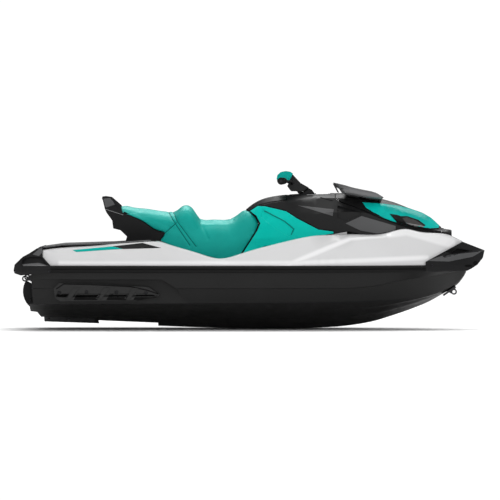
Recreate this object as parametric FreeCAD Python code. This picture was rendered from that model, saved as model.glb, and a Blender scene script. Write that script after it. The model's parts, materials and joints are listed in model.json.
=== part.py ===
"""Three-seat personal watercraft as an assembly of separate pieces.

X runs from the stern towards the bow, Y to port and Z up. Stations (x) are measured from the
stern and heights (z) from the lowest point of the keel, in millimetres. Each piece is saved in
the craft's own frame, whose origin is the waterline reference on the centre plane.
"""
import FreeCAD
import Part
import math
import os

V = FreeCAD.Vector

# Reference frame
REFERENCE_STATION = 1659.0
WATERLINE = 245.0

# Hull
BOND_HEIGHT = 430.0
HULL_START = 111.0
HULL_END = 3186.0
CHINE_LIP = 16.0
STRAKE_FLAT = 30.0
CREASE_STEP = 7.0

# Rail around the bond line
RAIL_PROUD = 24.0
RAIL_HEIGHT = 50.0
RAIL_TOP = 455.0
RAIL_GAP = 1.0

# Footwells and pedestal
FOOTWELL_FLOOR = 345.0
TUB_WALL = 14.0
MAT_THICKNESS = 8.0

# Pump and drive
PUMP_AXIS_HEIGHT = 215.0
PUMP_FRONT = 560.0
PUMP_BORE_RADIUS = 78.4
PUMP_WALL = 10.0
TIP_CLEARANCE = 0.8
SHAFT_RADIUS = 12.5
RUNNING_FIT = 0.05
BORE_CLEARANCE = 1.5
TUNNEL_HALF_WIDTH = 130.0
TUNNEL_RISE = 122.0
NOZZLE_PIVOT_STATION = 250.0
NOZZLE_END_STATION = 135.0
NOZZLE_WALL = 8.0
PIN_RADIUS = 7.0
PIN_CLEARANCE = 0.3
GATE_PIVOT = (205.0, 268.0)
GATE_RADIUS = 148.0
GATE_WALL = 8.0
GATE_HALF_WIDTH = 117.0
BRACKET_INNER = 98.0
BRACKET_OUTER = 107.0

# Gaps
PANEL_GAP = 5.0
PANEL_GAP_DEPTH = 12.0
SEAT_GAP = 0.3
SKIN = 5.0


def fair(points):
    """A smooth line through (station, value) points that never overshoots between them."""
    xs = [p[0] for p in points]
    ys = [p[1] for p in points]
    spans = [xs[i + 1] - xs[i] for i in range(len(xs) - 1)]
    slopes = [(ys[i + 1] - ys[i]) / spans[i] for i in range(len(spans))]
    tangents = [slopes[0]]
    for i in range(1, len(slopes)):
        product = slopes[i - 1] * slopes[i]
        total = slopes[i - 1] + slopes[i]
        tangents.append(2 * product / total if product > 0 else 0.0)
    tangents.append(slopes[-1])

    def value(x):
        x = min(max(x, xs[0]), xs[-1])
        i = max(k for k in range(len(spans)) if xs[k] <= x or k == 0)
        t = (x - xs[i]) / spans[i]
        return (
            (2 * t**3 - 3 * t**2 + 1) * ys[i]
            + (t**3 - 2 * t**2 + t) * spans[i] * tangents[i]
            + (3 * t**2 - 2 * t**3) * ys[i + 1]
            + (t**3 - t**2) * spans[i] * tangents[i + 1]
        )

    return value


# Lines plan of the hull
KEEL = fair([(100, 55), (600, 38), (1100, 18), (1500, 5), (1850, 0), (2224, 12), (2464, 40),
             (2711, 110), (2916, 190), (3044, 262), (3114, 305), (3157, 352), (3186, 400)])
CHINE_HEIGHT = fair([(100, 186), (1000, 192), (1900, 199), (2300, 203), (2630, 215),
                     (2916, 252), (3044, 285), (3114, 325), (3157, 368), (3186, 410)])
CHINE_BREADTH = fair([(100, 492), (700, 520), (1500, 528), (2000, 505), (2400, 425),
                      (2711, 300), (2916, 178), (3044, 82), (3114, 34), (3157, 26), (3186, 22)])
CREASE_BREADTH = fair([(100, 512), (700, 555), (1500, 566), (2000, 546), (2400, 476),
                       (2711, 362), (2916, 248), (3044, 152), (3114, 92), (3157, 62), (3186, 40)])
CREASE_HEIGHT = fair([(100, 293), (2300, 294), (2550, 312), (2711, 345), (2916, 374),
                      (3186, 416)])
RAIL_BREADTH = fair([(0, 418), (60, 486), (150, 524), (400, 562), (800, 588), (1250, 602),
                     (1700, 603.5), (2050, 586), (2400, 526), (2711, 424), (2916, 322),
                     (3044, 236), (3114, 180), (3186, 112), (3318, 20)])

# Lines plan of the deck
GUNWALE_HEIGHT = fair([(45, 520), (206, 556), (386, 576), (790, 606), (924, 628), (994, 622),
                       (1122, 588), (1300, 536), (1447, 500), (1581, 531), (1800, 592),
                       (2160, 662), (2400, 668), (2600, 672), (2751, 704), (2849, 684),
                       (3044, 664), (3157, 617)])
GUNWALE_BREADTH = fair([(45, 430), (150, 486), (400, 524), (924, 540), (1200, 556), (1447, 572),
                        (1700, 548), (2000, 486), (2160, 448), (2400, 388), (2600, 334),
                        (2751, 288), (2849, 252), (3044, 165), (3157, 95)])
KNUCKLE_HEIGHT = fair([(45, 478), (400, 516), (660, 545), (903, 484), (1100, 466), (1940, 472),
                       (2100, 540), (2365, 650), (2630, 656), (2800, 640), (3076, 575),
                       (3157, 545)])
KNUCKLE_BREADTH = fair([(45, 462), (150, 512), (400, 548), (660, 560), (903, 584), (1250, 596),
                        (1700, 596), (1940, 576), (2100, 540), (2365, 440), (2630, 360),
                        (2800, 300), (3044, 190), (3157, 120)])

# Lines plan of the cowl that carries the instruments, the steering and the hood
COWL_TOP = fair([(1570, 800), (1640, 852), (1718, 905), (1791, 930), (1913, 948), (2110, 958),
                 (2300, 960), (2440, 950), (2560, 925), (2683, 892), (2785, 852), (2874, 818),
                 (2943, 778), (3000, 727), (3040, 706), (3083, 698)])
SHOULDER_HEIGHT = fair([(1570, 740), (1640, 790), (1718, 852), (1800, 885), (2000, 912),
                        (2200, 926), (2400, 920), (2560, 884), (2700, 842), (2800, 808),
                        (2943, 742), (3000, 708), (3083, 690)])
SHOULDER_BREADTH = fair([(1570, 80), (1640, 88), (1800, 112), (2000, 138), (2200, 168),
                         (2400, 204), (2560, 208), (2700, 180), (2800, 150), (2943, 96),
                         (3000, 70), (3083, 28)])
WAIST_HEIGHT = fair([(1570, 660), (1800, 752), (2000, 796), (2200, 822), (2400, 828),
                     (2600, 790), (2800, 738), (2950, 700), (3083, 676)])
WAIST_BREADTH = fair([(1570, 128), (1700, 152), (1800, 182), (2000, 228), (2200, 268),
                      (2400, 298), (2600, 280), (2800, 214), (2950, 138), (3083, 44)])
COWL_FOOT_BREADTH = fair([(1570, 158), (1700, 180), (1800, 212), (2000, 262), (2200, 304),
                          (2400, 330), (2600, 306), (2800, 236), (2950, 160), (3083, 58)])

# Seat
SEAT_TOP = fair([(700, 886), (766, 868), (974, 843), (1090, 826), (1143, 834), (1172, 860),
                 (1207, 874), (1247, 854), (1302, 780), (1400, 770), (1495, 769), (1541, 784),
                 (1600, 826), (1660, 862), (1740, 880)])
SEAT_BREADTH = fair([(700, 112), (800, 150), (974, 172), (1120, 176), (1207, 170), (1302, 162),
                     (1450, 158), (1600, 136), (1740, 112)])
SKIRT_BREADTH = fair([(700, 100), (800, 128), (974, 160), (1120, 190), (1302, 198), (1450, 196),
                      (1600, 180), (1740, 168)])
PEDESTAL_TOP = [(1019, 622), (1122, 580), (1450, 486), (1587, 512), (1760, 580), (2340, 690)]
SEAT_FRONT = [(1600, 900), (1637, 841), (1702, 791), (1725, 745), (1702, 691), (1587, 512.3)]
SEAT_LIP = [(714, 878), (766, 822), (845, 787), (914, 753), (974, 708), (1024, 688), (1063, 681),
            (1019, 622.3)]

# Swim platform
PLATFORM = [(45, 500), (112, 528), (161, 562), (206, 576), (344, 595), (700, 606), (940, 622),
            (1019, 622)]


def half_outline(points):
    """Mirrors a half section, given from keel to deck, into a closed outline."""
    port = [p for p in points if p[0] > 1e-6]
    centre = [p for p in points if p[0] <= 1e-6]
    loop = [centre[0]] + port + centre[1:]
    return loop + [(-y, z) for y, z in reversed(port)]


def station_wire(x, loop):
    """Closed polygon across the craft at station x, through (y, z) corners."""
    corners = [V(x, y, z) for y, z in loop]
    return Part.makePolygon(corners + [corners[0]])


def loft(wires, ruled=False):
    return Part.makeLoft(wires, True, ruled)


def side_prism(profile, y0, y1):
    """Solid with an (x, z) side profile, running across the craft from y0 to y1."""
    corners = [V(x, y0, z) for x, z in profile]
    face = Part.Face(Part.makePolygon(corners + [corners[0]]))
    return face.extrude(V(0, y1 - y0, 0))


def plan_prism(profile, z0, z1):
    """Solid with an (x, y) plan profile, standing from z0 to z1."""
    corners = [V(x, y, z0) for x, y in profile]
    face = Part.Face(Part.makePolygon(corners + [corners[0]]))
    return face.extrude(V(0, 0, z1 - z0))


def block(x0, x1, y0, y1, z0, z1):
    return Part.makeBox(x1 - x0, y1 - y0, z1 - z0, V(x0, y0, z0))


def rod(start, end, radius):
    """Round bar between two points."""
    axis = end - start
    return Part.makeCylinder(radius, axis.Length, start, axis)


def revolved(profile, start, direction):
    """Solid of revolution from (distance along the axis, radius) corners."""
    corners = [V(r, 0, s) for s, r in profile]
    face = Part.Face(Part.makePolygon(corners + [corners[0]]))
    solid = face.revolve(V(0, 0, 0), V(0, 0, 1), 360)
    solid.Placement = FreeCAD.Placement(start, FreeCAD.Rotation(V(0, 0, 1), direction))
    return solid


def mirrored(shape):
    """The shape and its copy on the other side of the centre plane."""
    return Part.makeCompound([shape, shape.mirror(V(0, 0, 0), V(0, 1, 0))])


def fused(shapes):
    first = shapes[0]
    return first.fuse(shapes[1:]).removeSplitter() if len(shapes) > 1 else first


def save(name, shape):
    """Writes one piece in the craft's frame."""
    shape = shape.copy()
    shape.translate(V(-REFERENCE_STATION, 0, -WATERLINE))
    solids = shape.Solids
    good = all(s.isValid() and s.Volume > 0 for s in solids) and len(solids) > 0
    print(f"{name:22s} solids {len(solids)} {'ok' if good else 'BAD'} {shape.Volume / 1e6:9.3f} L")
    Part.makeCompound(solids).exportStep(os.path.join("parts", name + ".step"))


# Hull


def hull_section(x):
    keel = KEEL(x)
    chine_y = CHINE_BREADTH(x)
    chine_z = CHINE_HEIGHT(x)
    rise = (chine_z - keel) / chine_y
    lip = min(CHINE_LIP, 0.3 * chine_y)
    flat = min(STRAKE_FLAT, 0.12 * chine_y)
    inner = 0.36 * chine_y
    outer = 0.70 * chine_y
    top = BOND_HEIGHT + 10
    return half_outline([
        (0, keel),
        (inner, keel + rise * inner),
        (inner + flat, keel + rise * inner + 1),
        (outer, keel + rise * outer),
        (outer + flat, keel + rise * outer + 1),
        (chine_y - lip, chine_z - 4),
        (chine_y, chine_z - 4),
        (CREASE_BREADTH(x), CREASE_HEIGHT(x)),
        (CREASE_BREADTH(x) + CREASE_STEP, CREASE_HEIGHT(x) + 2),
        (RAIL_BREADTH(x), BOND_HEIGHT),
        (RAIL_BREADTH(x), top),
        (0, top),
    ])


SIDE_STATIONS = [300, 500, 700, 900, 1100, 1300, 1500, 1700, 1850, 2000, 2100, 2225, 2350, 2450,
                 2550, 2630, 2711, 2770, 2830]


def hull_envelope():
    stations = [HULL_START] + SIDE_STATIONS + [2930, 3020, 3090, 3140, HULL_END]
    whole = loft([station_wire(x, hull_section(x)) for x in stations])
    return whole.common(block(0, 3400, -800, 800, -100, BOND_HEIGHT))


STERN_PROFILE = [(0, 500), (125, 500), (125, 373), (137, 192), (111, 184), (115, 130),
                 (161, 125), (186, 87), (206, 40), (206, -90), (0, -90)]


def pump_tunnel():
    """Space under the stern for the pump, its nozzle and the gate, and the intake duct."""
    roof = PUMP_AXIS_HEIGHT + TUNNEL_RISE
    tunnel = block(0, PUMP_FRONT, -TUNNEL_HALF_WIDTH, TUNNEL_HALF_WIDTH, -90, roof)
    well = block(0, 330, -TUNNEL_HALF_WIDTH, TUNNEL_HALF_WIDTH, roof - 1, BOND_HEIGHT + 1)
    return tunnel.fuse(well)


INTAKE_HALF_WIDTH = 80.0
INTAKE_START = 640.0
INTAKE_END = 1010.0


def intake_duct():
    top = PUMP_AXIS_HEIGHT + PUMP_BORE_RADIUS
    low = PUMP_AXIS_HEIGHT - PUMP_BORE_RADIUS
    return side_prism(
        [(PUMP_FRONT - 1, top), (PUMP_FRONT - 1, low), (INTAKE_START, -90), (INTAKE_END, -90),
         (INTAKE_END, 62), (850, 140), (720, 225), (640, top - 15)],
        -INTAKE_HALF_WIDTH, INTAKE_HALF_WIDTH)


ENGINE = (1290.0, 1810.0, 165.0, 110.0, 450.0)
ENGINE_CLEARANCE = 12.0


def engine_bay():
    x0, x1, half, z0, z1 = ENGINE
    c = ENGINE_CLEARANCE
    return block(x0 - c, x1 + c, -half - c, half + c, z0 - SEAT_GAP, z1 + c)


BIN = (2360.0, 2860.0, 186.0, 300.0, 706.0)
BIN_WALL = 5.0


def bin_space(grow=0.0):
    """Outside of the storage bin: narrower towards the bow."""
    x0, x1, half, z0, z1 = BIN
    plan = [(x0 - grow, -half - grow), (x0 - grow, half + grow), (2640, half + grow),
            (x1 + grow, 110 + grow), (x1 + grow, -110 - grow), (2640, -half - grow)]
    return plan_prism(plan, z0 - grow, z1 + 300)


TUB_END = 2300.0


def tub_space(wall=0.0):
    """Volume of the footwells below the bond line, from bulkhead to bulkhead."""
    stations = [(1010, 430), (1180, 505), (1450, 510), (1800, 500), (2100, 420), (TUB_END, 350)]
    port = [(x, y + wall) for x, y in stations]
    plan = [(port[0][0] - wall, port[0][1])] + port + [(port[-1][0] + wall, port[-1][1])]
    plan = plan + [(x, -y) for x, y in reversed(plan)]
    return plan_prism(plan, FOOTWELL_FLOOR - wall, BOND_HEIGHT)


SPONSON_OUTLINE = [(283, 296), (322, 333), (560, 329), (945, 306), (1027, 252), (1010, 236),
                   (880, 213), (330, 205), (292, 230)]
SPONSON_FLOOR = 500.0
SIDE_RECESS = [(90, 359), (1040, 359), (1150, 290), (1210, 180), (90, 180)]
SIDE_RECESS_FLOOR = 527.0


def sponson_pocket():
    """Recess along the stern quarters and the seats of the sponsons in it."""
    recess = side_prism(SIDE_RECESS, SIDE_RECESS_FLOOR, 700)
    seat = side_prism(SPONSON_OUTLINE, SPONSON_FLOOR, SIDE_RECESS_FLOOR + 1)
    return mirrored(recess.fuse(seat))


def shaft_bore():
    start = V(PUMP_FRONT, 0, PUMP_AXIS_HEIGHT)
    return rod(start, V(ENGINE[0], 0, PUMP_AXIS_HEIGHT), SHAFT_RADIUS + BORE_CLEARANCE)


def make_hull(envelope):
    hull = envelope.cut(side_prism(STERN_PROFILE, -800, 800))
    for space in (pump_tunnel(), intake_duct(), engine_bay(), bin_space(), tub_space(TUB_WALL),
                  sponson_pocket(), shaft_bore()):
        hull = hull.cut(space)
    return hull


# Deck


def deck_section(x):
    rail = RAIL_BREADTH(x)
    low = BOND_HEIGHT - 8
    return half_outline([
        (0, low),
        (rail, low),
        (rail - 1, RAIL_TOP),
        (KNUCKLE_BREADTH(x), KNUCKLE_HEIGHT(x)),
        (GUNWALE_BREADTH(x), GUNWALE_HEIGHT(x)),
        (GUNWALE_BREADTH(x) - 26, GUNWALE_HEIGHT(x) + 5),
        (0, GUNWALE_HEIGHT(x) + DECK_CROWN(x)),
    ])


DECK_START = 45.0
DECK_END = 3157.0
DECK_CROWN = fair([(45, 40), (980, 40), (1300, -15), (3157, -15)])


def deck_envelope():
    stations = [DECK_START, 110, 206, 386, 660, 903, 994, 1122, 1300, 1447, 1600, 1800, 1940,
                2100, 2250, 2400, 2600, 2751, 2849, 2950, 3060, 3120, DECK_END]
    whole = loft([station_wire(x, deck_section(x)) for x in stations])
    return whole.common(block(0, 3400, -800, 800, BOND_HEIGHT, 1200))


WELL_OUTER = fair([(985, 450), (1100, 492), (1447, 524), (1700, 500), (2000, 436), (2160, 400),
                   (2320, 352), (2420, 330)])
WELL_FLOOR = fair([(985, 625), (1040, 470), (1120, 356), (1180, FOOTWELL_FLOOR),
                   (2140, FOOTWELL_FLOOR), (2230, 380), (2320, 480), (2420, 690)])


def footwell_section(x):
    outer = WELL_OUTER(x)
    floor = WELL_FLOOR(x)
    return half_outline([(0, floor), (outer - 30, floor), (outer, floor + 40),
                         (outer + 30, 1200), (0, 1200)])


def footwell():
    """Space for the riders' feet on both sides of the pedestal, with a ramp at each end."""
    runs = [((985, 1010, 1040, 1080, 1120, 1150, 1180), True),
            ((1180, 1300, 1447, 1700, 2000, 2140), False),
            ((2140, 2185, 2230, 2275, 2320, 2370, 2420), True)]
    return fused([loft([station_wire(x, footwell_section(x)) for x in stations], ruled)
                  for stations, ruled in runs])


PEDESTAL_FOOT = fair([(1019, 236), (1120, 226), (1450, 214), (1700, 222), (2000, 262),
                      (2340, 320)])
PEDESTAL_HEAD = fair([(1019, 202), (1120, 196), (1450, 188), (1700, 190), (2000, 238),
                      (2340, 310)])


def above_pedestal():
    profile = [(900, PEDESTAL_TOP[0][1])] + PEDESTAL_TOP + [(2400, 700), (2400, 1000), (900, 1000)]
    return side_prism(profile, -400, 400)


def pedestal():
    wires = []
    for x in (1019, 1120, 1300, 1450, 1587, 1700, 1850, 2000, 2170, 2340):
        wires.append(station_wire(x, half_outline([
            (0, FOOTWELL_FLOOR - 8), (PEDESTAL_FOOT(x), FOOTWELL_FLOOR - 8),
            (PEDESTAL_HEAD(x), 720), (0, 720)])))
    body = loft(wires).cut(above_pedestal())
    return body.cut(block(TUB_END, 2600, -400, 400, 0, BOND_HEIGHT))


def above_platform():
    profile = PLATFORM + [(PLATFORM[-1][0], 1200), (0, 1200), (0, PLATFORM[0][1])]
    return side_prism(profile, -800, 800)


def make_deck(envelope):
    deck = envelope.fuse(tub_space(TUB_WALL - SEAT_GAP))
    deck = deck.cut(footwell())
    deck = deck.cut(above_platform())
    deck = deck.fuse(pedestal())
    deck = deck.cut(engine_bay())
    deck = deck.cut(bin_space())
    return deck


# Cowl: console, knee panels, glove box, hood


def cowl_section(x, grow):
    return half_outline([
        (0, 470),
        (COWL_FOOT_BREADTH(x) + grow, 470),
        (COWL_FOOT_BREADTH(x) + grow, 640),
        (WAIST_BREADTH(x) + grow, WAIST_HEIGHT(x)),
        (SHOULDER_BREADTH(x) + 0.6 * grow, SHOULDER_HEIGHT(x) + 0.7 * grow),
        (0.45 * SHOULDER_BREADTH(x), COWL_TOP(x) - 4 + grow),
        (0, COWL_TOP(x) + grow),
    ])


def cowl(grow=0.0):
    stations = [1570, 1640, 1718, 1800, 1913, 2050, 2200, 2320, 2440, 2560, 2683, 2785, 2874,
                2943, 3000, 3040, 3083]
    return loft([station_wire(x, cowl_section(x, grow)) for x in stations])


HOOD_REAR = 2262.0
HOOD_LINE = [(HOOD_REAR, 930), (2300, 900), (2400, 864), (2470, 838), (2550, 800), (2719, 738),
             (2846, 702), (2990, 690)]
HOOD_NOSE = (3010.0, 688.0)
HOOD_HINGE = (3022.0, 706.0)
HOOD_WALL = 14.0


def above_hood_line(gap=0.0):
    """Region of the hood, grown by a gap so that the fixed side stays clear of it."""
    line = [(x - gap, z - gap) for x, z in HOOD_LINE]
    nose = (HOOD_NOSE[0] + gap, HOOD_NOSE[1] - gap)
    return side_prism(line + [nose, (nose[0], 1200), (line[0][0], 1200)], -500, 500)


def console_front(gap=0.0):
    """Region ahead of the seat, above the pedestal."""
    line = [(x + gap, z) for x, z in SEAT_FRONT]
    foot = [(x, z + gap) for x, z in PEDESTAL_TOP if x > 1600]
    return side_prism(line + foot + [(3400, 470), (3400, 1200), (line[0][0], 1200)], -600, 600)


GLOVE_END = 1916.0
GLOVE_LINE = [(1560, 770), (1640, 826), (1720, 878), (1800, 898), (GLOVE_END, 914)]
GLOVE_HINGE = (1928.0, 941.0)
GLOVE_POCKET = (1748.0, 1880.0, 64.0, 800.0)
GLOVE_WALL = 3.0


def above_glove_line(gap=0.0):
    line = [(x, z - gap) for x, z in GLOVE_LINE]
    end = GLOVE_END + gap
    return side_prism(line + [(end, line[-1][1]), (end, 1200), (line[0][0], 1200)], -400, 400)


def glove_pocket(grow=0.0):
    x0, x1, half, z0 = GLOVE_POCKET
    return block(x0 - grow, x1 + grow, -half - grow, half + grow, z0 - grow, 1000)


def hinge_pin(hinge, half_length, radius):
    x, z = hinge
    return rod(V(x, -half_length, z), V(x, half_length, z), radius)


GLOVE_PIN_RADIUS = 3.0
GLOVE_KNUCKLE = 40.0
HOOD_PIN_RADIUS = 4.0
HOOD_KNUCKLE = 26.0
KNUCKLE_GAP = 1.0


def hinge_slot(hinge, knuckle, depth, reach):
    """Room in the fixed side for a hinge knuckle."""
    x, z = hinge
    half = knuckle + KNUCKLE_GAP
    return block(x - reach, x + depth, -half, half, z - depth, z + 60)


def knuckle_leaf(hinge, knuckle, radius, reach):
    x, z = hinge
    leaf = block(x - reach, x, -knuckle, knuckle, z - radius, z + radius)
    return leaf.fuse(rod(V(x, -knuckle, z), V(x, knuckle, z), radius))


DISPLAY_SHELF = [(2125, 918), (2225, 948)]
DISPLAY_HALF_WIDTH = 88.0
DISPLAY_THICKNESS = 12.0


def display_recess():
    return side_prism(DISPLAY_SHELF + [(2225, 1000), (2125, 1000)],
                      -DISPLAY_HALF_WIDTH, DISPLAY_HALF_WIDTH)


def make_display():
    (x0, z0), (x1, z1) = DISPLAY_SHELF
    gap = PANEL_GAP
    profile = [(x0 + gap, z0 + gap / 3), (x1 - gap, z1 - 1), (x1 - gap, z1 + DISPLAY_THICKNESS - 4),
               (x0 + gap, z0 + DISPLAY_THICKNESS)]
    half = DISPLAY_HALF_WIDTH - gap
    return side_prism(profile, -half, half)


SIDE_POCKET = [(2275, 872), (2440, 826), (2446, 808), (2337, 764), (2274, 786)]
SIDE_POCKET_DEPTH = 16.0


def side_pockets():
    """Sunk panels on both sides of the front cowl, below the deflector."""
    return side_prism(SIDE_POCKET, -600, 600).cut(cowl(-SIDE_POCKET_DEPTH))


COAMING_INSET = HOOD_WALL + PANEL_GAP + 1.0
COAMING_WALL = 4.0
COAMING_RISE = 20.0
COAMING_SPAN = (2288.0, 2952.0)


def hood_coaming():
    """Lips that stand up inside the hood and keep spray out of the storage bin."""
    ring = cowl(-COAMING_INSET).cut(cowl(-COAMING_INSET - COAMING_WALL))
    ring = ring.common(above_hood_line(COAMING_RISE)).cut(above_hood_line(-COAMING_RISE))
    return ring.common(block(*COAMING_SPAN, -500, 500, 400, 1200))


def make_cowl(plain, deck):
    """Fixed console and front cowl, with room for the glove box, the bin and the display."""
    skin = plain.common(console_front(PANEL_GAP)).cut(side_pockets())
    core = cowl(-PANEL_GAP_DEPTH).common(console_front(SEAT_GAP))
    fixed = skin.fuse(core).cut(above_hood_line(PANEL_GAP)).cut(above_glove_line(PANEL_GAP))
    fixed = fixed.fuse(hood_coaming()).cut(deck)
    fixed = fixed.cut(glove_pocket(SEAT_GAP)).cut(bin_space(SEAT_GAP)).cut(display_recess())
    fixed = fixed.cut(hinge_slot(GLOVE_HINGE, GLOVE_KNUCKLE, 10, 20))
    fixed = fixed.cut(hinge_pin(GLOVE_HINGE, GLOVE_KNUCKLE + 14, GLOVE_PIN_RADIUS + PIN_CLEARANCE))
    fixed = fixed.cut(hinge_slot(HOOD_HINGE, HOOD_KNUCKLE, 10, 20))
    fixed = fixed.cut(hinge_pin(HOOD_HINGE, HOOD_KNUCKLE + 12, HOOD_PIN_RADIUS + PIN_CLEARANCE))
    fixed = fixed.cut(steering_bore())
    split = HOOD_REAR - PANEL_GAP
    rear = fixed.common(block(1500, split, -500, 500, 400, 1200))
    front = fixed.common(block(split, 3400, -500, 500, 400, 1200))
    return rear, front


def make_glove_lid(plain):
    lid = plain.common(console_front(PANEL_GAP)).common(above_glove_line())
    lid = lid.fuse(knuckle_leaf(GLOVE_HINGE, GLOVE_KNUCKLE, 6, 20))
    return lid.fuse(hinge_pin(GLOVE_HINGE, GLOVE_KNUCKLE + 12, GLOVE_PIN_RADIUS))


def make_glove_bin():
    tray = glove_pocket().cut(glove_pocket(-GLOVE_WALL))
    return tray.cut(above_glove_line(PANEL_GAP + 1))


def make_storage_bin():
    tray = bin_space().cut(bin_space(-BIN_WALL))
    return tray.cut(above_hood_line(PANEL_GAP + 1))


def make_hood(plain):
    hood = plain.common(above_hood_line())
    hood = hood.cut(cowl(-HOOD_WALL).common(block(2280, 2960, -500, 500, 400, 1200)))
    hood = hood.fuse(knuckle_leaf(HOOD_HINGE, HOOD_KNUCKLE, 6, 24))
    return hood.fuse(hinge_pin(HOOD_HINGE, HOOD_KNUCKLE + 10, HOOD_PIN_RADIUS))


KNEE_PROFILE = [(1587, 540), (1702, 697), (1731, 748), (1704, 800), (1648, 842), (1712, 868),
                (1767, 866), (1913, 832), (1986, 784), (2140, 704), (2245, 690), (2245, 640),
                (1900, 560), (1700, 480)]


KNEE_SCOOP = [(1750, 846), (1905, 765), (1977, 707), (1937, 652), (1850, 700), (1735, 790)]
KNEE_SCOOP_SKIN = 2.0


def make_knee_panels(plain, grown, deck):
    skin = grown.cut(plain).common(side_prism(KNEE_PROFILE, -600, 600))
    skin = skin.common(console_front(PANEL_GAP + 1)).cut(above_glove_line(PANEL_GAP))
    skin = skin.cut(side_prism(KNEE_SCOOP, -600, 600).cut(cowl(KNEE_SCOOP_SKIN)))
    return skin.cut(block(1500, 2400, -60, 60, 400, 1200)).cut(deck)


HOOD_PANEL = [(2449, 896), (2577, 889), (2706, 871), (2786, 852), (2875, 822), (2944, 782),
              (2996, 735), (2990, 712), (2930, 710), (2731, 742), (2622, 775), (2550, 812),
              (2478, 856)]
VENT_OUTLINE = [(2661, 807), (2870, 748), (2890, 728), (2801, 731), (2731, 772)]


def make_hood_skins(plain, grown):
    """Coloured hood panels and the dark vent inserts let into them."""
    skin = grown.cut(plain).cut(block(2300, 3100, -24, 24, 400, 1200))
    skin = skin.common(above_hood_line())
    panels = skin.common(side_prism(HOOD_PANEL, -600, 600))
    vent = side_prism(VENT_OUTLINE, -600, 600)
    return panels.cut(vent), skin.common(vent)


# Mirrors and wind deflector on the hood

MIRROR_WING = [(2249, 1032), (2319, 1010), (2405, 991), (2513, 970), (2560, 956), (2600, 931),
               (2588, 917), (2542, 920), (2420, 935), (2308, 960), (2287, 993), (2265, 1001)]
MIRROR_TIP = 342.0


def make_mirror_wing(plain, glass):
    """Pods that sweep outwards from a low deflector on the hood."""
    def section(y, rear, drop, shrink):
        cx, cz = 2430, 965
        return [V(cx + (x - cx) * shrink + rear, y, cz + (z - cz) * shrink + drop)
                for x, z in MIRROR_WING]

    def pod(steps):
        wires = [Part.makePolygon(c + [c[0]]) for c in (section(*s) for s in steps)]
        return Part.makeLoft(wires, True, True)

    side = pod([(150, 20, -24, 0.80), (178, 8, -8, 0.92), (210, 0, 0, 1.0), (300, -4, 2, 0.98),
                (326, 8, 2, 0.90), (MIRROR_TIP, 30, 2, 0.70)])
    bridge = pod([(-150, 20, -24, 0.80), (0, 40, -12, 0.72), (150, 20, -24, 0.80)])
    wing = bridge.fuse([side, side.mirror(V(0, 0, 0), V(0, 1, 0))])
    return wing.cut(plain).cut(glass)


def make_mirror_glass():
    plate = side_prism([(2246, 1024), (2253, 1026), (2285, 966), (2278, 964)], 216, 312)
    return mirrored(plate)


# Seat, base and grab handle


def seat_section(x, inset=0.0):
    top = SEAT_TOP(x)
    edge = SEAT_BREADTH(x) - inset
    skirt = SKIRT_BREADTH(x) - inset
    return half_outline([
        (0, 440), (skirt, 440), (skirt, 0.5 * (440 + top) - 20), (edge + 8, top - 62),
        (edge - 12, top - 20), (edge - 58, top - 4), (0, top)])


def make_seat():
    stations = [690, 766, 870, 974, 1090, 1143, 1172, 1207, 1247, 1302, 1400, 1495, 1541, 1600,
                1660, 1740]
    body = loft([station_wire(x, seat_section(x)) for x in stations])
    floor = [(x, z + SEAT_GAP) for x, z in PEDESTAL_TOP if x < 1600]
    profile = SEAT_LIP[:-1] + floor + SEAT_FRONT[::-1][1:] + [(1600, 1000), (714, 1000)]
    return body.common(side_prism(profile, -400, 400))


BASE_BREADTH = fair([(600, 150), (760, 152), (1060, 180)])
SEAT_BASE = [(635, 849), (714, 877), (765.7, 821), (845, 786), (914, 752), (974, 707),
             (1024, 687), (1062.6, 680.5), (1018.6, 622.3), (940, 622.3), (778, 611.5),
             (791, 654), (746, 698), (694, 711), (687, 767), (647, 822)]


def make_seat_base():
    wires = []
    for x in (620, 760, 900, 1070):
        b = BASE_BREADTH(x)
        wires.append(station_wire(x, half_outline([
            (0, 560), (b - 22, 560), (b, 700), (b, 800), (b - 10, 900), (0, 900)])))
    return loft(wires).common(side_prism(SEAT_BASE, -400, 400))


HANDLE_ARM = [(635, 849.3), (714, 877.3), (757, 831), (750, 872), (682, 931), (640, 938),
              (615, 934)]
HANDLE_GRIP = [(625, 902), (614, 922), (620, 936), (650, 937), (664, 924), (655, 904)]
ARM_INNER = 122.0
ARM_OUTER = 146.0


def make_grab_handle():
    arm = side_prism(HANDLE_ARM, ARM_INNER, ARM_OUTER)
    grip = side_prism(HANDLE_GRIP, -ARM_INNER - 1, ARM_INNER + 1)
    return fused([grip, arm, arm.mirror(V(0, 0, 0), V(0, 1, 0))])


# Bumpers, rail and mats


def hull_side(x, z):
    """Half-breadth of the hull's upper side at station x and height z."""
    low_y, low_z = CREASE_BREADTH(x) + CREASE_STEP, CREASE_HEIGHT(x) + 2
    return low_y + (RAIL_BREADTH(x) - low_y) * (z - low_z) / (BOND_HEIGHT - low_z)


def rail_section(x):
    """Grooved rail that clips over the bond flange, just clear of hull and deck."""
    b = RAIL_BREADTH(x) + RAIL_GAP
    low = RAIL_TOP - RAIL_HEIGHT
    proud = b + RAIL_PROUD
    return [(hull_side(x, low) + RAIL_GAP, low), (proud - 8, low), (proud, low + 8),
            (proud, BOND_HEIGHT - 5), (proud - 6, BOND_HEIGHT - 2), (proud - 6, BOND_HEIGHT + 2),
            (proud, BOND_HEIGHT + 5), (proud, RAIL_TOP - 8), (proud - 8, RAIL_TOP),
            (b, RAIL_TOP), (b, BOND_HEIGHT)]


STERN_CAP_END = 263.0
BOW_CAP_START = 2893.0


def make_rubrail():
    stations = [STERN_CAP_END] + SIDE_STATIONS + [BOW_CAP_START]
    return mirrored(loft([station_wire(x, rail_section(x)) for x in stations]))


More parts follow.
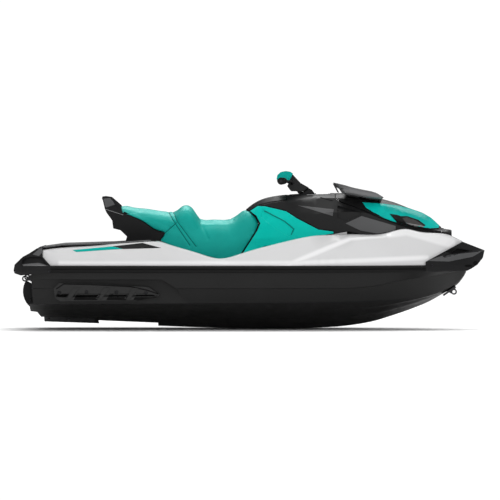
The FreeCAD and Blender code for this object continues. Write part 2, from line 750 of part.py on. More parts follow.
STERN_CAP = [(0, 420), (7, 460), (64, 515), (112, 541), (161, 573), (206, 587), (206, 517),
             (STERN_CAP_END, 454), (STERN_CAP_END, 405), (52, 385), (7, 399)]


STERN_POCKET = [(62, 454), (62, 490), (84, 508), (125, 516), (196, 514), (244, 454)]


def stern_form(flank):
    """Solid of the stern cap from the half-section of its flank, above the rail band."""
    wires = []
    for x in (0, 25, 60, 110, 160, 206, STERN_CAP_END):
        b = RAIL_BREADTH(x) + RAIL_PROUD
        wires.append(station_wire(x, half_outline(
            [(0, 380), (b - 14, 380), (b, 408)] + [(b - y, z) for y, z in flank] + [(0, 600)])))
    return loft(wires)


def make_stern_cap(hull, deck):
    """Corner bumper with a sunk panel on each flank, whose floor rises from a bright ledge."""
    cap = stern_form([(0, 462), (40, 540), (66, 600)]).common(side_prism(STERN_CAP, -700, 700))
    sunk = stern_form([(0, 451), (24, 474), (44, 520), (84, 600)])
    cap = cap.cut(side_prism(STERN_POCKET, -700, 700).cut(sunk))
    inner = [(66, -360), (66, 360), (110, 400), (161, 430), (300, 450), (300, -450),
             (161, -430), (110, -400)]
    cap = cap.cut(plan_prism(inner, 470, 700))
    well = block(-10, 330, -TUNNEL_HALF_WIDTH, TUNNEL_HALF_WIDTH, 300, BOND_HEIGHT)
    return cap.cut(hull).cut(deck).cut(well)


BOW_CAP = [(BOW_CAP_START, 479), (3157, 617), (3315, 556), (3303, 503), (3263, 454), (3222, 428),
           (3189, 412), (BOW_CAP_START, 405)]
BOW_TOP_BREADTH = fair([(2893, 262), (3044, 182), (3157, 112), (3240, 78), (3318, 36)])
BOW_TOP_HEIGHT = fair([(2893, 690), (3044, 672), (3157, 622), (3318, 560)])
BOW_MID_BREADTH = fair([(2893, 340), (3044, 242), (3157, 158), (3240, 108), (3318, 54)])
BOW_MID_HEIGHT = fair([(2893, 487), (3076, 500), (3238, 540), (3318, 550)])
BOW_RAIL_BREADTH = fair([(2893, 358), (3044, 262), (3114, 208), (3186, 150), (3250, 98),
                         (3318, 44)])
BOW_STATIONS = [BOW_CAP_START, 2970, 3044, 3114, 3157, 3210, 3260, 3318]
BOW_POCKET = [(3122, 571), (3220, 551), (3010, 508)]
BOW_POCKET_DEPTH = 12.0


def bow_section(x, inset):
    rail = BOW_RAIL_BREADTH(x) - inset
    return half_outline([
        (0, 400), (rail - 10, 400), (rail, 414), (rail, 448),
        (BOW_MID_BREADTH(x) - inset, BOW_MID_HEIGHT(x)),
        (BOW_TOP_BREADTH(x) - inset, BOW_TOP_HEIGHT(x)), (0, BOW_TOP_HEIGHT(x) + 4)])


def bow_form(inset=0.0):
    return loft([station_wire(x, bow_section(x, inset)) for x in BOW_STATIONS])


def make_bow_cap(hull, deck):
    cap = bow_form().common(side_prism(BOW_CAP, -600, 600))
    pocket = side_prism(BOW_POCKET, -600, 600).cut(bow_form(BOW_POCKET_DEPTH))
    return cap.cut(pocket).cut(hull).cut(deck)


def make_platform_mat():
    line = [(x, z) for x, z in PLATFORM if x > 100]
    band = line + [(x, z + MAT_THICKNESS) for x, z in reversed(line)]
    plan = [(112, 385), (161, 415), (230, 452), (400, 474), (940, 470), (960, 440), (960, 200),
            (620, 190), (620, -190), (960, -200), (960, -440), (940, -470), (400, -474),
            (230, -452), (161, -415), (112, -385)]
    return side_prism(band, -600, 600).common(plan_prism(plan, 400, 700))


def make_footwell_mats():
    stations = [1200, 1447, 1700, 2000, 2120]
    outer = [(x, WELL_OUTER(x) - 36) for x in stations]
    inner = [(x, PEDESTAL_FOOT(x) + 8) for x in reversed(stations)]
    return mirrored(plan_prism(outer + inner, FOOTWELL_FLOOR, FOOTWELL_FLOOR + MAT_THICKNESS))


# Steering

STEER_BASE = V(2030, 0, 945)
STEER_RAKE = math.radians(52)
STEER_AXIS = V(-math.cos(STEER_RAKE), 0, math.sin(STEER_RAKE))
COLUMN_RADIUS = 16.0
BAR_RADIUS = 11.0
BAR_POINTS = [V(1955, 60, 1028), V(1944, 110, 1038), V(1898, 210, 1046), V(1876, 396, 1046)]
GRIP_RADIUS = 17.0
GRIP_START = 262.0


def steering_bore():
    return rod(STEER_BASE - STEER_AXIS * 70, STEER_BASE + STEER_AXIS * 60,
               COLUMN_RADIUS + RUNNING_FIT)


SHROUD = [(2022, 940), (2025, 951), (2078, 992), (2096, 982), (2112, 962), (2114, 945)]
NECK = [(1938, 1050), (1959, 1093), (2016, 1031), (2071, 1000), (2034, 972), (1951, 972),
        (1940, 982), (1922, 1008)]
NECK_HALF_WIDTH = 52.0
PAD = [(1846, 1056), (1852, 1086), (1876, 1108), (1912, 1115), (1944, 1110), (1962, 1097),
       (1938, 1051), (1890, 1050)]
PAD_HALF_WIDTH = 88.0


def make_steering_shroud(console):
    hood = side_prism(SHROUD, -70, 70)
    return hood.cut(console).cut(steering_bore())


def make_steering_neck(bar):
    neck = side_prism(NECK, -NECK_HALF_WIDTH, NECK_HALF_WIDTH)
    column = rod(STEER_BASE - STEER_AXIS * 60, STEER_BASE + STEER_AXIS * 60, COLUMN_RADIUS)
    return neck.fuse(column).cut(bar)


def make_pad(neck):
    return side_prism(PAD, -PAD_HALF_WIDTH, PAD_HALF_WIDTH).cut(neck)


def bar_runs():
    full = [V(p.x, -p.y, p.z) for p in reversed(BAR_POINTS)] + BAR_POINTS
    return list(zip(full, full[1:]))


def make_handlebar(grow=0.0):
    pieces = []
    for start, end in bar_runs():
        pieces.append(rod(start, end, BAR_RADIUS + grow))
        pieces.append(Part.makeSphere(BAR_RADIUS + grow, start))
    return fused(pieces[:1] + pieces[2:])


def along_bar(y):
    """Point on the outer run of the handlebar at a given breadth."""
    a, b = BAR_POINTS[2], BAR_POINTS[3]
    t = (y - a.y) / (b.y - a.y)
    return a + (b - a) * t


def make_grips(bar):
    start = along_bar(GRIP_START)
    end = along_bar(392)
    length = (end - start).Length
    profile = [(0, 0), (0, GRIP_RADIUS + 7), (5, GRIP_RADIUS + 7), (8, GRIP_RADIUS),
               (length - 10, GRIP_RADIUS - 1), (length - 7, GRIP_RADIUS + 9),
               (length, GRIP_RADIUS + 9), (length, 0)]
    grip = revolved(profile, start, end - start)
    return mirrored(grip.cut(bar))


def make_control_pods(bar):
    start = along_bar(214)
    end = along_bar(GRIP_START - 2)
    return mirrored(rod(start, end, 23).cut(bar))


def make_lever(side):
    """Lever ahead of the grip, from the control pod outwards."""
    root = along_bar(236)
    tip = along_bar(356)
    profile = [(root.x + 20, root.y - 10), (root.x + 46, root.y - 10), (tip.x + 42, tip.y),
               (tip.x + 30, tip.y + 4), (root.x + 34, root.y + 14), (root.x + 20, root.y + 12)]
    lever = plan_prism(profile, root.z - 6, root.z + 6)
    lever = lever.cut(rod(along_bar(214), along_bar(GRIP_START - 2), 23))
    return lever if side > 0 else lever.mirror(V(0, 0, 0), V(0, 1, 0))


# Pump, nozzle and gate

HUB_RADIUS = 40.0
STATOR_START = 335.0
STATOR_END = 455.0
IMPELLER_START = 466.0
IMPELLER_END = 548.0
OUTLET_RADIUS = 44.0
VANES = 7
BLADES = 4
AXIS = V(1, 0, 0)


def pump_axis(x):
    return V(x, 0, PUMP_AXIS_HEIGHT)


def pump_lugs():
    """Top and bottom lugs whose pins carry the nozzle."""
    lugs = []
    for side in (1, -1):
        near = PUMP_AXIS_HEIGHT + side * 87
        far = PUMP_AXIS_HEIGHT + side * 98
        lugs.append(block(NOZZLE_PIVOT_STATION - 16, 380, -16, 16, min(near, far),
                          max(near, far)))
        lugs.append(rod(V(NOZZLE_PIVOT_STATION, 0, far),
                        V(NOZZLE_PIVOT_STATION, 0, PUMP_AXIS_HEIGHT + side * 63), PIN_RADIUS))
    return lugs


def gate_brackets():
    x, z = GATE_PIVOT
    arms = []
    for side in (1, -1):
        y0, y1 = sorted((side * BRACKET_INNER, side * BRACKET_OUTER))
        w0, w1 = sorted((side * 55, side * BRACKET_OUTER))
        arm = block(x, 385, y0, y1, z - 14, z + 14)
        arm = arm.fuse(rod(V(x, y0, z), V(x, y1, z), 14))
        arm = arm.fuse(block(350, 385, w0, w1, z - 14, z + 14))
        arms.append(arm.cut(rod(V(x, y0, z), V(x, y1, z), PIN_RADIUS + PIN_CLEARANCE)))
    return arms


def make_pump_housing():
    bore = PUMP_BORE_RADIUS
    outer = bore + PUMP_WALL
    front = PUMP_FRONT - SEAT_GAP
    shell = revolved([(front, bore), (front, outer + 16), (front - 12, outer + 16),
                      (front - 12, outer), (345, outer), (300, OUTLET_RADIUS + NOZZLE_WALL),
                      (232, OUTLET_RADIUS + NOZZLE_WALL), (232, OUTLET_RADIUS),
                      (300, OUTLET_RADIUS), (345, bore)], pump_axis(0), AXIS)
    hub = revolved([(275, 0), (290, 14), (320, 34), (STATOR_START, HUB_RADIUS),
                    (STATOR_END, HUB_RADIUS), (STATOR_END, 0)], pump_axis(0), AXIS)
    vanes = []
    for i in range(VANES):
        vane = Part.makeBox(STATOR_END - STATOR_START - 20, 4, bore + 2 - 36,
                            V(STATOR_START + 10, -2, PUMP_AXIS_HEIGHT + 36))
        vane.rotate(pump_axis(0), AXIS, i * 360 / VANES)
        vanes.append(vane)
    arms = [arm.cut(rod(pump_axis(200), pump_axis(500), bore + 2)) for arm in gate_brackets()]
    housing = fused([shell, hub] + vanes + pump_lugs() + arms)
    bearing = rod(pump_axis(300), pump_axis(STATOR_END + 5), SHAFT_RADIUS + RUNNING_FIT)
    return housing.cut(bearing)


def make_impeller():
    tip = PUMP_BORE_RADIUS - TIP_CLEARANCE
    hub = revolved([(IMPELLER_START, 0), (IMPELLER_START, HUB_RADIUS - 1),
                    (IMPELLER_END, 28), (IMPELLER_END + 8, 20), (IMPELLER_END + 8, 0)],
                   pump_axis(0), AXIS)
    blade_wires = []
    for step in range(6):
        x = IMPELLER_START + 6 + 12 * step
        angle = math.radians(22 * step)
        across = V(0, math.cos(angle), math.sin(angle))
        radial = V(0, -math.sin(angle), math.cos(angle))
        corners = [pump_axis(x) + radial * r + across * t
                   for r, t in ((20, -3), (20, 3), (tip - 0.3, 2), (tip - 0.3, -2))]
        blade_wires.append(Part.makePolygon(corners + [corners[0]]))
    blade = loft(blade_wires)
    blades = []
    for i in range(BLADES):
        turned = blade.copy()
        turned.rotate(pump_axis(0), AXIS, i * 360 / BLADES)
        blades.append(turned)
    wheel = fused([hub] + blades)
    return wheel.cut(rod(pump_axis(400), pump_axis(600), SHAFT_RADIUS + RUNNING_FIT))


def make_drive_shaft():
    return rod(pump_axis(302), pump_axis(ENGINE[0] - SEAT_GAP), SHAFT_RADIUS)


def make_nozzle():
    pivot = NOZZLE_PIVOT_STATION
    wall = NOZZLE_WALL
    tube = revolved([(pivot + 32, 74), (pivot + 32, 74 + wall), (pivot - 2, 66 + wall),
                     (pivot - 40, 57 + wall), (NOZZLE_END_STATION, 42 + wall),
                     (NOZZLE_END_STATION, 42), (pivot - 40, 57), (pivot - 2, 66)],
                    pump_axis(0), AXIS)
    hole = rod(V(pivot, 0, PUMP_AXIS_HEIGHT - 120), V(pivot, 0, PUMP_AXIS_HEIGHT + 120),
               PIN_RADIUS + PIN_CLEARANCE)
    return tube.cut(hole)


def make_gate():
    x, z = GATE_PIVOT
    half = GATE_HALF_WIDTH
    start, end = V(x, -half, z), V(x, half, z)
    fan = [(x, z)]
    for degrees in (29, 10, -10, -30, -47):
        a = math.radians(degrees)
        fan.append((x - 220 * math.cos(a), z + 220 * math.sin(a)))
    shell = rod(start, end, GATE_RADIUS).cut(rod(start, end, GATE_RADIUS - GATE_WALL))
    shell = shell.common(side_prism(fan, -half, half))
    pieces = [shell]
    for side in (1, -1):
        y0, y1 = sorted((side * (half - GATE_WALL), side * half))
        cheek = rod(V(x, y0, z), V(x, y1, z), GATE_RADIUS - 1).common(side_prism(fan, y0, y1))
        boss = rod(V(x, y0, z), V(x, y1, z), 18)
        pin = rod(V(x, side * BRACKET_INNER, z), V(x, side * half, z), PIN_RADIUS)
        pieces += [cheek, boss, pin]
    return fused(pieces)


# Under the hull and small fittings


def make_ride_plate(envelope):
    half = TUNNEL_HALF_WIDTH - SEAT_GAP
    return envelope.common(block(206, PUMP_FRONT - SEAT_GAP, -half, half, -90, 104))


def make_intake_grate():
    half = INTAKE_HALF_WIDTH - SEAT_GAP
    x0, x1 = INTAKE_START - 28, INTAKE_END - SEAT_GAP
    plate = side_prism([(x0 + 12, 60), (x1, 44), (x1, 56), (x0 + 12, 72)], -half, half)
    for i in range(5):
        y = -half + 10 + i * 29
        plate = plate.cut(block(x0 + 30, x1 - 18, y, y + 22, 0, 120))
    return plate


SPONSON_PROUD = 572.0
SPONSON_SLOT = [(296, 234), (1000, 240), (980, 251), (300, 251)]
SPONSON_SLOT_DEPTH = 22.0
RIB_STARTS = (363.0, 577.0, 777.0)
RIB_WIDTH = 41.0
RIB_LEAN = 60.0
RIB_HEIGHTS = (222.0, 299.0)
RIB_PROUD = 6.0
SPONSON_SCREWS = [(324, 266), (514, 270), (724, 269), (930, 264)]
SCREW_SEAT_RADIUS = 13.0
SCREW_SEAT_DEPTH = 6.0
SHARP_CORNERS = 2


def inset_prism(profile, gap, y0, y1):
    """A side prism whose edges all lie a gap inside the profile."""
    corners = [V(x, y0, z) for x, z in profile]
    face = Part.Face(Part.makePolygon(corners + [corners[0]]))
    return face.makeOffset2D(-gap, SHARP_CORNERS).extrude(V(0, y1 - y0, 0))


def make_sponsons():
    """Side stabilisers: a slot along each, leaning ribs across it and sunk screw seats."""
    body = inset_prism(SPONSON_OUTLINE, SEAT_GAP, SPONSON_FLOOR + SEAT_GAP, SPONSON_PROUD)
    slot_floor = SPONSON_PROUD - SPONSON_SLOT_DEPTH
    body = body.cut(side_prism(SPONSON_SLOT, slot_floor, SPONSON_PROUD + 1))
    low, high = RIB_HEIGHTS
    ribs = []
    for x in RIB_STARTS:
        profile = [(x, low), (x + RIB_WIDTH, low), (x + RIB_WIDTH + RIB_LEAN, high),
                   (x + RIB_LEAN, high)]
        ribs.append(side_prism(profile, slot_floor - 1, SPONSON_PROUD + RIB_PROUD))
    body = fused([body] + ribs)
    for x, z in SPONSON_SCREWS:
        body = body.cut(rod(V(x, SPONSON_PROUD - SCREW_SEAT_DEPTH, z), V(x, SPONSON_PROUD + 1, z),
                            SCREW_SEAT_RADIUS))
    return mirrored(body)


EYE_HOLE_RADIUS = 11.0
EYE_THICKNESS = 12.0
STERN_EYE_BREADTH = 300.0


def make_stern_eyes():
    y = STERN_EYE_BREADTH
    t = EYE_THICKNESS / 2
    base = side_prism([(125 - SEAT_GAP, 380), (127, 340), (115, 340), (113, 380)], y - 28, y + 28)
    ear = rod(V(76, y - t, 360), V(76, y + t, 360), 21).fuse(
        block(76, 120, y - t, y + t, 345, 375))
    eye = base.fuse(ear).cut(rod(V(76, y - 30, 360), V(76, y + 30, 360), EYE_HOLE_RADIUS))
    return mirrored(eye)


BOW_EYE = (3100.0, 262.0)


def make_bow_eye(hull):
    x, z = BOW_EYE
    t = EYE_THICKNESS / 2
    ear = rod(V(x, -t, z), V(x, t, z), 21)
    ear = ear.fuse(side_prism([(x - 8, z - 18), (x + 14, z + 14), (x - 6, 330), (x - 60, 270)],
                              -t, t))
    base = side_prism([(3020, 240), (3028, 232), (3116, 292), (3108, 304)], -26, 26)
    eye = ear.fuse(base).cut(hull)
    return eye.cut(rod(V(x, -40, z), V(x, 40, z), EYE_HOLE_RADIUS))


def make_drain_plugs():
    plug = rod(V(136 - SEAT_GAP, 200, 212), V(118, 200, 212), 15)
    head = rod(V(122, 200, 212), V(112, 200, 212), 9)
    return mirrored(plug.fuse(head))


FUEL_CAP = V(2120, 236, 868)
FUEL_CAP_AXIS = V(0, 0.86, 0.51)


def make_fuel_cap(console):
    disc = rod(FUEL_CAP - FUEL_CAP_AXIS * 30, FUEL_CAP + FUEL_CAP_AXIS * 22, 44)
    return disc.cut(console)


def make_engine():
    x0, x1, half, z0, z1 = ENGINE
    return block(x0, x1, -half, half, z0, z1)


# Build


def main():
    os.makedirs("parts", exist_ok=True)
    hull_whole = hull_envelope()
    deck_whole = deck_envelope()
    hull = make_hull(hull_whole)
    deck = make_deck(deck_whole)
    plain = cowl()
    grown = cowl(SKIN)
    console, front_cowl = make_cowl(plain, deck)
    glass = make_mirror_glass()
    wing = make_mirror_wing(plain, glass)
    hood_panels, hood_vents = make_hood_skins(plain, grown)
    hood_panels = hood_panels.cut(wing)
    bar = make_handlebar()
    neck = make_steering_neck(bar)
    stern_cap = make_stern_cap(hull, deck)

    save("hull", hull)
    save("deck", deck)
    save("rubrail", make_rubrail())
    save("stern_cap", stern_cap)
    save("bow_cap", make_bow_cap(hull_whole, deck_whole))
    save("platform_mat", make_platform_mat().cut(stern_cap))
    save("footwell_mats", make_footwell_mats())
    save("seat", make_seat())
    save("seat_base", make_seat_base())
    save("grab_handle", make_grab_handle())
    save("console", console)
    save("front_cowl", front_cowl)
    save("knee_panels", make_knee_panels(plain, grown, deck))
    save("glove_bin", make_glove_bin())
    save("glove_lid", make_glove_lid(plain))
    save("display", make_display())
    save("storage_bin", make_storage_bin())
    save("hood_shell", make_hood(plain))
    save("hood_panels", hood_panels)
    save("hood_vents", hood_vents)
    save("mirror_wing", wing)
    save("mirror_glass", glass)
    save("steering_shroud", make_steering_shroud(console))
    save("steering_neck", neck)
    save("handlebar", bar)
    save("handlebar_pad", make_pad(neck))
    save("grips", make_grips(bar))
    save("control_pods", make_control_pods(bar))
    save("throttle_lever", make_lever(-1))
    save("brake_lever", make_lever(1))
    save("fuel_cap", make_fuel_cap(console))
    save("engine_block", make_engine())
    save("pump_housing", make_pump_housing())
    save("impeller", make_impeller())
    save("drive_shaft", make_drive_shaft())
    save("nozzle", make_nozzle())
    save("reverse_gate", make_gate())
    save("ride_plate", make_ride_plate(hull_whole))
    save("intake_grate", make_intake_grate())
    save("sponsons", make_sponsons())
    save("stern_eyes", make_stern_eyes().cut(hull))
    save("bow_eye", make_bow_eye(hull_whole))
    save("drain_plugs", make_drain_plugs().cut(hull))


main()
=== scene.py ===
"""Looks of a three-seat personal watercraft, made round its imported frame.

Stations are metres from the stern and heights are metres above the lowest point of the keel, as in
the photograph. spot() turns them into the frame's own coordinates.
"""

import json
import math

import bmesh
import bpy
import numpy as np
from mathutils import Matrix, Vector
from mathutils.bvhtree import BVHTree


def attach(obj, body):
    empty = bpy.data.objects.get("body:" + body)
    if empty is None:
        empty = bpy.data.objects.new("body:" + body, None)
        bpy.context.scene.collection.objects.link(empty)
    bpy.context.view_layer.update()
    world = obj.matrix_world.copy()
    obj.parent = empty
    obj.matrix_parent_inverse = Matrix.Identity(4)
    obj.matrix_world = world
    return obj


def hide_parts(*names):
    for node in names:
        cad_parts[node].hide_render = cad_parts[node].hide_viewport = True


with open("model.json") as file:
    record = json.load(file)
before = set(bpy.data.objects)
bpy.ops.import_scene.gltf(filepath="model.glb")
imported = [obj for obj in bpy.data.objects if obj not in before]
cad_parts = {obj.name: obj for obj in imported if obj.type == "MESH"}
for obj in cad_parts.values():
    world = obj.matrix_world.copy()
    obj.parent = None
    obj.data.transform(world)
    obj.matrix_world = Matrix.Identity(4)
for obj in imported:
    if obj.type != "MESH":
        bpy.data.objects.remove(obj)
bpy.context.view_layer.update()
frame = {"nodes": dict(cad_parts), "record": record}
nodes = frame["nodes"]

# The photograph's frame
REFERENCE_STATION = 1.659
WATERLINE = 0.245
IMAGE_PIXELS = 500
METRES_PER_PIXEL = 0.007067
STERN_PIXEL = 15.3
KEEL_PIXEL = 328.8
CAMERA_DISTANCE = 60.0
CAMERA_ELEVATION = math.radians(0.8)
CAMERA_CLIP_END = 200.0
SENSOR = 36.0

# Films and trims laid on the panels
FILM_THICKNESS = 0.0006
FILM_LIFT = FILM_THICKNESS * 1.5
VENT_LIFT = 0.003
FILM_CELL = 0.007
CUT_TOLERANCE = 1e-6
TRIM_STEP = 0.008
BEAD_JUMP = 0.025
BEAD_RISE = 0.4
EVENED_REACH = 2
SEAL_LOOK = 0.008
SEAL_INSET = 0.014
SEAL_DEPTH = 0.020

# Smooth shading
WELD_DISTANCE = 0.00002
CAD_EDGE_ANGLE = math.radians(28)
TRIM_EDGE_ANGLE = math.radians(35)

# Seat
SEAT_VOXEL = 0.010
SEAT_SMOOTHINGS = 5
SEAT_SHRINK = 0.004
SEAT_SWELL = 0.007
SEAT_FOOT_FACING = -0.4
CLOTH_PRESSURE = 4.0
CLOTH_FRAMES = 20
SEAM_DEPTH = 0.0045
SEAM_WIDTH = 0.010
SEAMS = [((1.084, 0.826), (1.111, 0.777)), ((1.111, 0.777), (1.235, 0.592)),
         ((1.115, 0.830), (1.146, 0.760)), ((1.146, 0.760), (1.279, 0.583)),
         ((1.062, 0.681), (1.141, 0.751))]
CREASES = [((1.302, 0.776), (1.362, 0.640))]
SEAT_REAR_TOP = [(0.765, 0.872), (0.853, 0.863), (0.966, 0.843), (1.079, 0.829), (1.120, 0.831)]
SEAT_REAR_FADE = 0.06
SEAT_TOP_DEPTH = 0.11
SEAT_TOP_STEP = 0.02
SEAT_TOP_LOOK = 0.015
SEAT_REAR_REACH = 0.024
SEAT_REAR_START = 0.82
SEAT_REAR_BEND = 0.05
SHOULDER_DEPTH = 0.11
SHOULDER_SHARE = 0.30

# Side-view lines along which a panel's colour is painted lighter or darker: painted highlights and
# painted shade
DECK_HIGHLIGHT = [((1.930, 0.465), (2.365, 0.645)), ((2.365, 0.645), (2.599, 0.666)),
               ((0.330, 0.472), (2.012, 0.474)), ((2.012, 0.474), (2.436, 0.490)),
               ((2.436, 0.490), (2.900, 0.508))]
DECK_TOP_HIGHLIGHT = [((2.640, 0.684), (2.761, 0.700)), ((2.761, 0.700), (3.072, 0.610))]
DECK_SHADE = [((2.170, 0.655), (2.310, 0.662))]
WING_HIGHLIGHT = [((2.330, 0.986), (2.560, 0.938))]
HOOD_REAR_PAINTED_LIGHT = [((2.450, 0.870), (2.530, 0.864))]
HOOD_SHADE = [((2.640, 0.868), (2.900, 0.790))]


def spot(station, height, y=0.0):
    """A place in the frame's coordinates."""
    return Vector((station - REFERENCE_STATION, y, height - WATERLINE))


# Materials


class Nodes:
    """A short way to write the nodes of a material or of the world."""

    def __init__(self, owner, shader="Principled BSDF", coords="Object"):
        owner.use_nodes = True
        self.owner = owner
        self.tree = owner.node_tree
        self.shader = self.tree.nodes[shader]
        self.coords = self.add("ShaderNodeTexCoord").outputs[coords]

    def add(self, kind, inputs=None, **settings):
        node = self.tree.nodes.new(kind)
        for key, value in settings.items():
            setattr(node, key, value)
        for key, value in (inputs or {}).items():
            if isinstance(value, bpy.types.NodeSocket):
                self.tree.links.new(value, node.inputs[key])
            else:
                node.inputs[key].default_value = value
        return node

    def link(self, source, target):
        self.tree.links.new(source, self.shader.inputs[target])

    def fix(self, values):
        """Sets inputs of the shader to constants."""
        for name, value in values.items():
            self.shader.inputs[name].default_value = value

    def noise(self, scale, detail=4.0, vector=None):
        node = self.add("ShaderNodeTexNoise", {
            "Vector": vector or self.coords, "Scale": scale, "Detail": detail})
        return node.outputs["Fac"]

    def spread(self, value, low, high, from_low=0.3, from_high=0.7):
        return self.add("ShaderNodeMapRange", {
            "Value": value, "From Min": from_low, "From Max": from_high,
            "To Min": low, "To Max": high}).outputs["Result"]

    def blend(self, factor, first, second):
        node = self.add("ShaderNodeMix", {"Factor": factor}, data_type="RGBA")
        for socket, colour in ((node.inputs[6], first), (node.inputs[7], second)):
            if isinstance(colour, bpy.types.NodeSocket):
                self.tree.links.new(colour, socket)
            else:
                socket.default_value = colour
        return node.outputs[2]

    def maths(self, operation, first, second=0.0):
        return self.add("ShaderNodeMath", {0: first, 1: second}, operation=operation).outputs[0]

    def vectors(self, operation, first, second, output=0):
        node = self.add("ShaderNodeVectorMath", {0: first, 1: second}, operation=operation)
        return node.outputs[output]

    def bump(self, height, strength, distance, normal=None):
        inputs = {"Height": height, "Strength": strength, "Distance": distance}
        if normal is not None:
            inputs["Normal"] = normal
        return self.add("ShaderNodeBump", inputs).outputs["Normal"]

    def rounded(self, radius):
        return self.add("ShaderNodeBevel", {"Radius": radius}, samples=4).outputs["Normal"]

    def part_of(self, vector, axis):
        return self.add("ShaderNodeSeparateXYZ", {"Vector": vector}).outputs[axis]

    def facing(self, axis):
        """How far the surface faces along one of the frame's axes."""
        return self.part_of(self.add("ShaderNodeNewGeometry").outputs["Normal"], axis)

    def side_point(self):
        """The surface point with its breadth taken out, for lines drawn on a side view."""
        return self.vectors("MULTIPLY", self.coords, (1.0, 0.0, 1.0))

    def from_line(self, point, start, end):
        """Distance from a side-view point to a straight line between two places."""
        a, b = spot(*start), spot(*end)
        along = b - a
        offset = self.vectors("SUBTRACT", point, tuple(a))
        dot = self.vectors("DOT_PRODUCT", offset, tuple(along), "Value")
        share = self.add("ShaderNodeClamp", {
            "Value": self.maths("MULTIPLY", dot, 1 / along.length_squared)}).outputs[0]
        scaled = self.add("ShaderNodeVectorMath", {0: tuple(along), 3: share},
                          operation="SCALE").outputs[0]
        return self.vectors("DISTANCE", offset, scaled, "Value")

    def from_lines(self, lines):
        """Distance from the nearest of some side-view lines."""
        point = self.side_point()
        nearest = None
        for start, end in lines:
            gap = self.from_line(point, start, end)
            nearest = gap if nearest is None else self.maths("MINIMUM", nearest, gap)
        return nearest


# Tint of the reflections on teal surfaces
TEAL_GLOSS = (0.12, 1.0, 0.93, 1.0)
VINYL_GLOSS = (0.18, 1.0, 0.95, 1.0)

# Scales of noise, and the relief in metres, of moulded surfaces
PATCH_SCALE = 3.5
GLOSS_SCALE = 14.0
GLOSS_SPREAD = 0.12
RIPPLE_SCALE = 55.0
RIPPLE_SHARE = 0.03
RIPPLE_DEPTH = 0.002
GRAIN_DEPTH = 0.0006
DUST_SCALE = 900.0
DUST_SPAN = (0.55, 0.75)
DUST_GAIN = 2.4
UNDERSIDE = (-0.62, -0.48)
COAT_ROUGHNESS = 0.08

# Seat's cover: distances from a seam in metres, stitches and cells to the metre, and depths
SEAM_EDGE = (0.0006, 0.0032)
SEAM_GROOVE_SHADE = 0.25
SEAM_RELIEF = 0.003
STITCH_OFFSET = 0.0075
STITCH_EDGE = (0.0006, 0.0016)
STITCH_RATE = 180.0
STITCH_GAP = (0.12, 0.2)
STITCH_TONE = 1.6
STITCH_RELIEF = 0.001
LEATHER_SCALE = 420.0
LEATHER_RELIEF = 0.0004
WRINKLE_SCALE = 40.0
WRINKLE_RELIEF = 0.003

# Foam mats, brushed metal and mirror glass
FOAM_GROOVE_RATE = 28.0
FOAM_GROOVE_EDGE = (0.03, 0.07)
FOAM_GROOVE_RELIEF = 0.003
FOAM_FLECK_SCALE = 700.0
FOAM_FUZZ_SCALE = 900.0
FOAM_FUZZ_RELIEF = 0.0005
BRUSHING = (1.0, 60.0, 60.0)
BRUSH_SCALE = 40.0
BRUSH_RELIEF = 0.0004
MIRROR_FACING = (-0.6, -0.5)
MIRROR_SILVER = (0.86, 0.92)
MIRROR_RIM = (0.006, 0.006, 0.006, 1.0)


def new_material(name):
    return Nodes(bpy.data.materials.new(name))


def tone(colour, gain):
    """The colour made lighter or darker, with its alpha."""
    return tuple(min(1.0, c * gain) for c in colour) + (1.0,)


def moulded(name, colour, roughness, grain=0.0, grain_scale=600.0, coat=0.0, edge=0.002,
            metallic=0.0, variation=0.10, dust=0.0, specular=0.25, under=None, tint=None,
            painted_light=()):
    """Moulded plastic, gelcoat or cast metal with grain, uneven gloss and softened edges.

    Surfaces that face down have the colour under, which is painted shade. Each set of
    painted-light lines holds side-view lines, the gain of the colour along them, and the distances
    between which the gain fades out; these are painted highlights and painted shade.
    """
    n = new_material(name)
    patches = n.noise(PATCH_SCALE, detail=6.0)
    base = n.blend(n.spread(patches, 0.0, 1.0), tone(colour, 1 - variation),
                   tone(colour, 1 + variation))
    if dust > 0:
        speck = n.spread(n.noise(DUST_SCALE, detail=2.0), 0.0, dust, *DUST_SPAN)
        base = n.blend(speck, base, tone(colour, DUST_GAIN))
    # Faces that turn down get a darker colour: painted shade on the underside.
    if under is not None:
        base = n.blend(n.spread(n.facing("Z"), 1.0, 0.0, *UNDERSIDE), base, tone(under, 1.0))
    # Along each set of lines the colour is lightened or darkened: painted highlights and painted
    # shade.
    for lines, gain, near, far in painted_light:
        share = n.spread(n.from_lines(lines), 1.0, 0.0, near, far)
        base = n.blend(share, base, tone(colour, gain))
    n.link(base, "Base Color")
    uneven = n.noise(GLOSS_SCALE, detail=5.0)
    n.link(n.spread(uneven, roughness * (1 - GLOSS_SPREAD), roughness * (1 + GLOSS_SPREAD)),
           "Roughness")
    normal = n.rounded(edge)
    if grain > 0:
        normal = n.bump(n.noise(grain_scale, detail=3.0), grain, GRAIN_DEPTH, normal)
    ripple = n.noise(RIPPLE_SCALE, detail=2.0)
    n.link(n.bump(ripple, RIPPLE_SHARE, RIPPLE_DEPTH, normal), "Normal")
    n.fix({"Metallic": metallic, "Coat Weight": coat, "Coat Roughness": COAT_ROUGHNESS,
           "Specular IOR Level": specular})
    if tint is not None:
        n.fix({"Specular Tint": tint})
    return n.owner


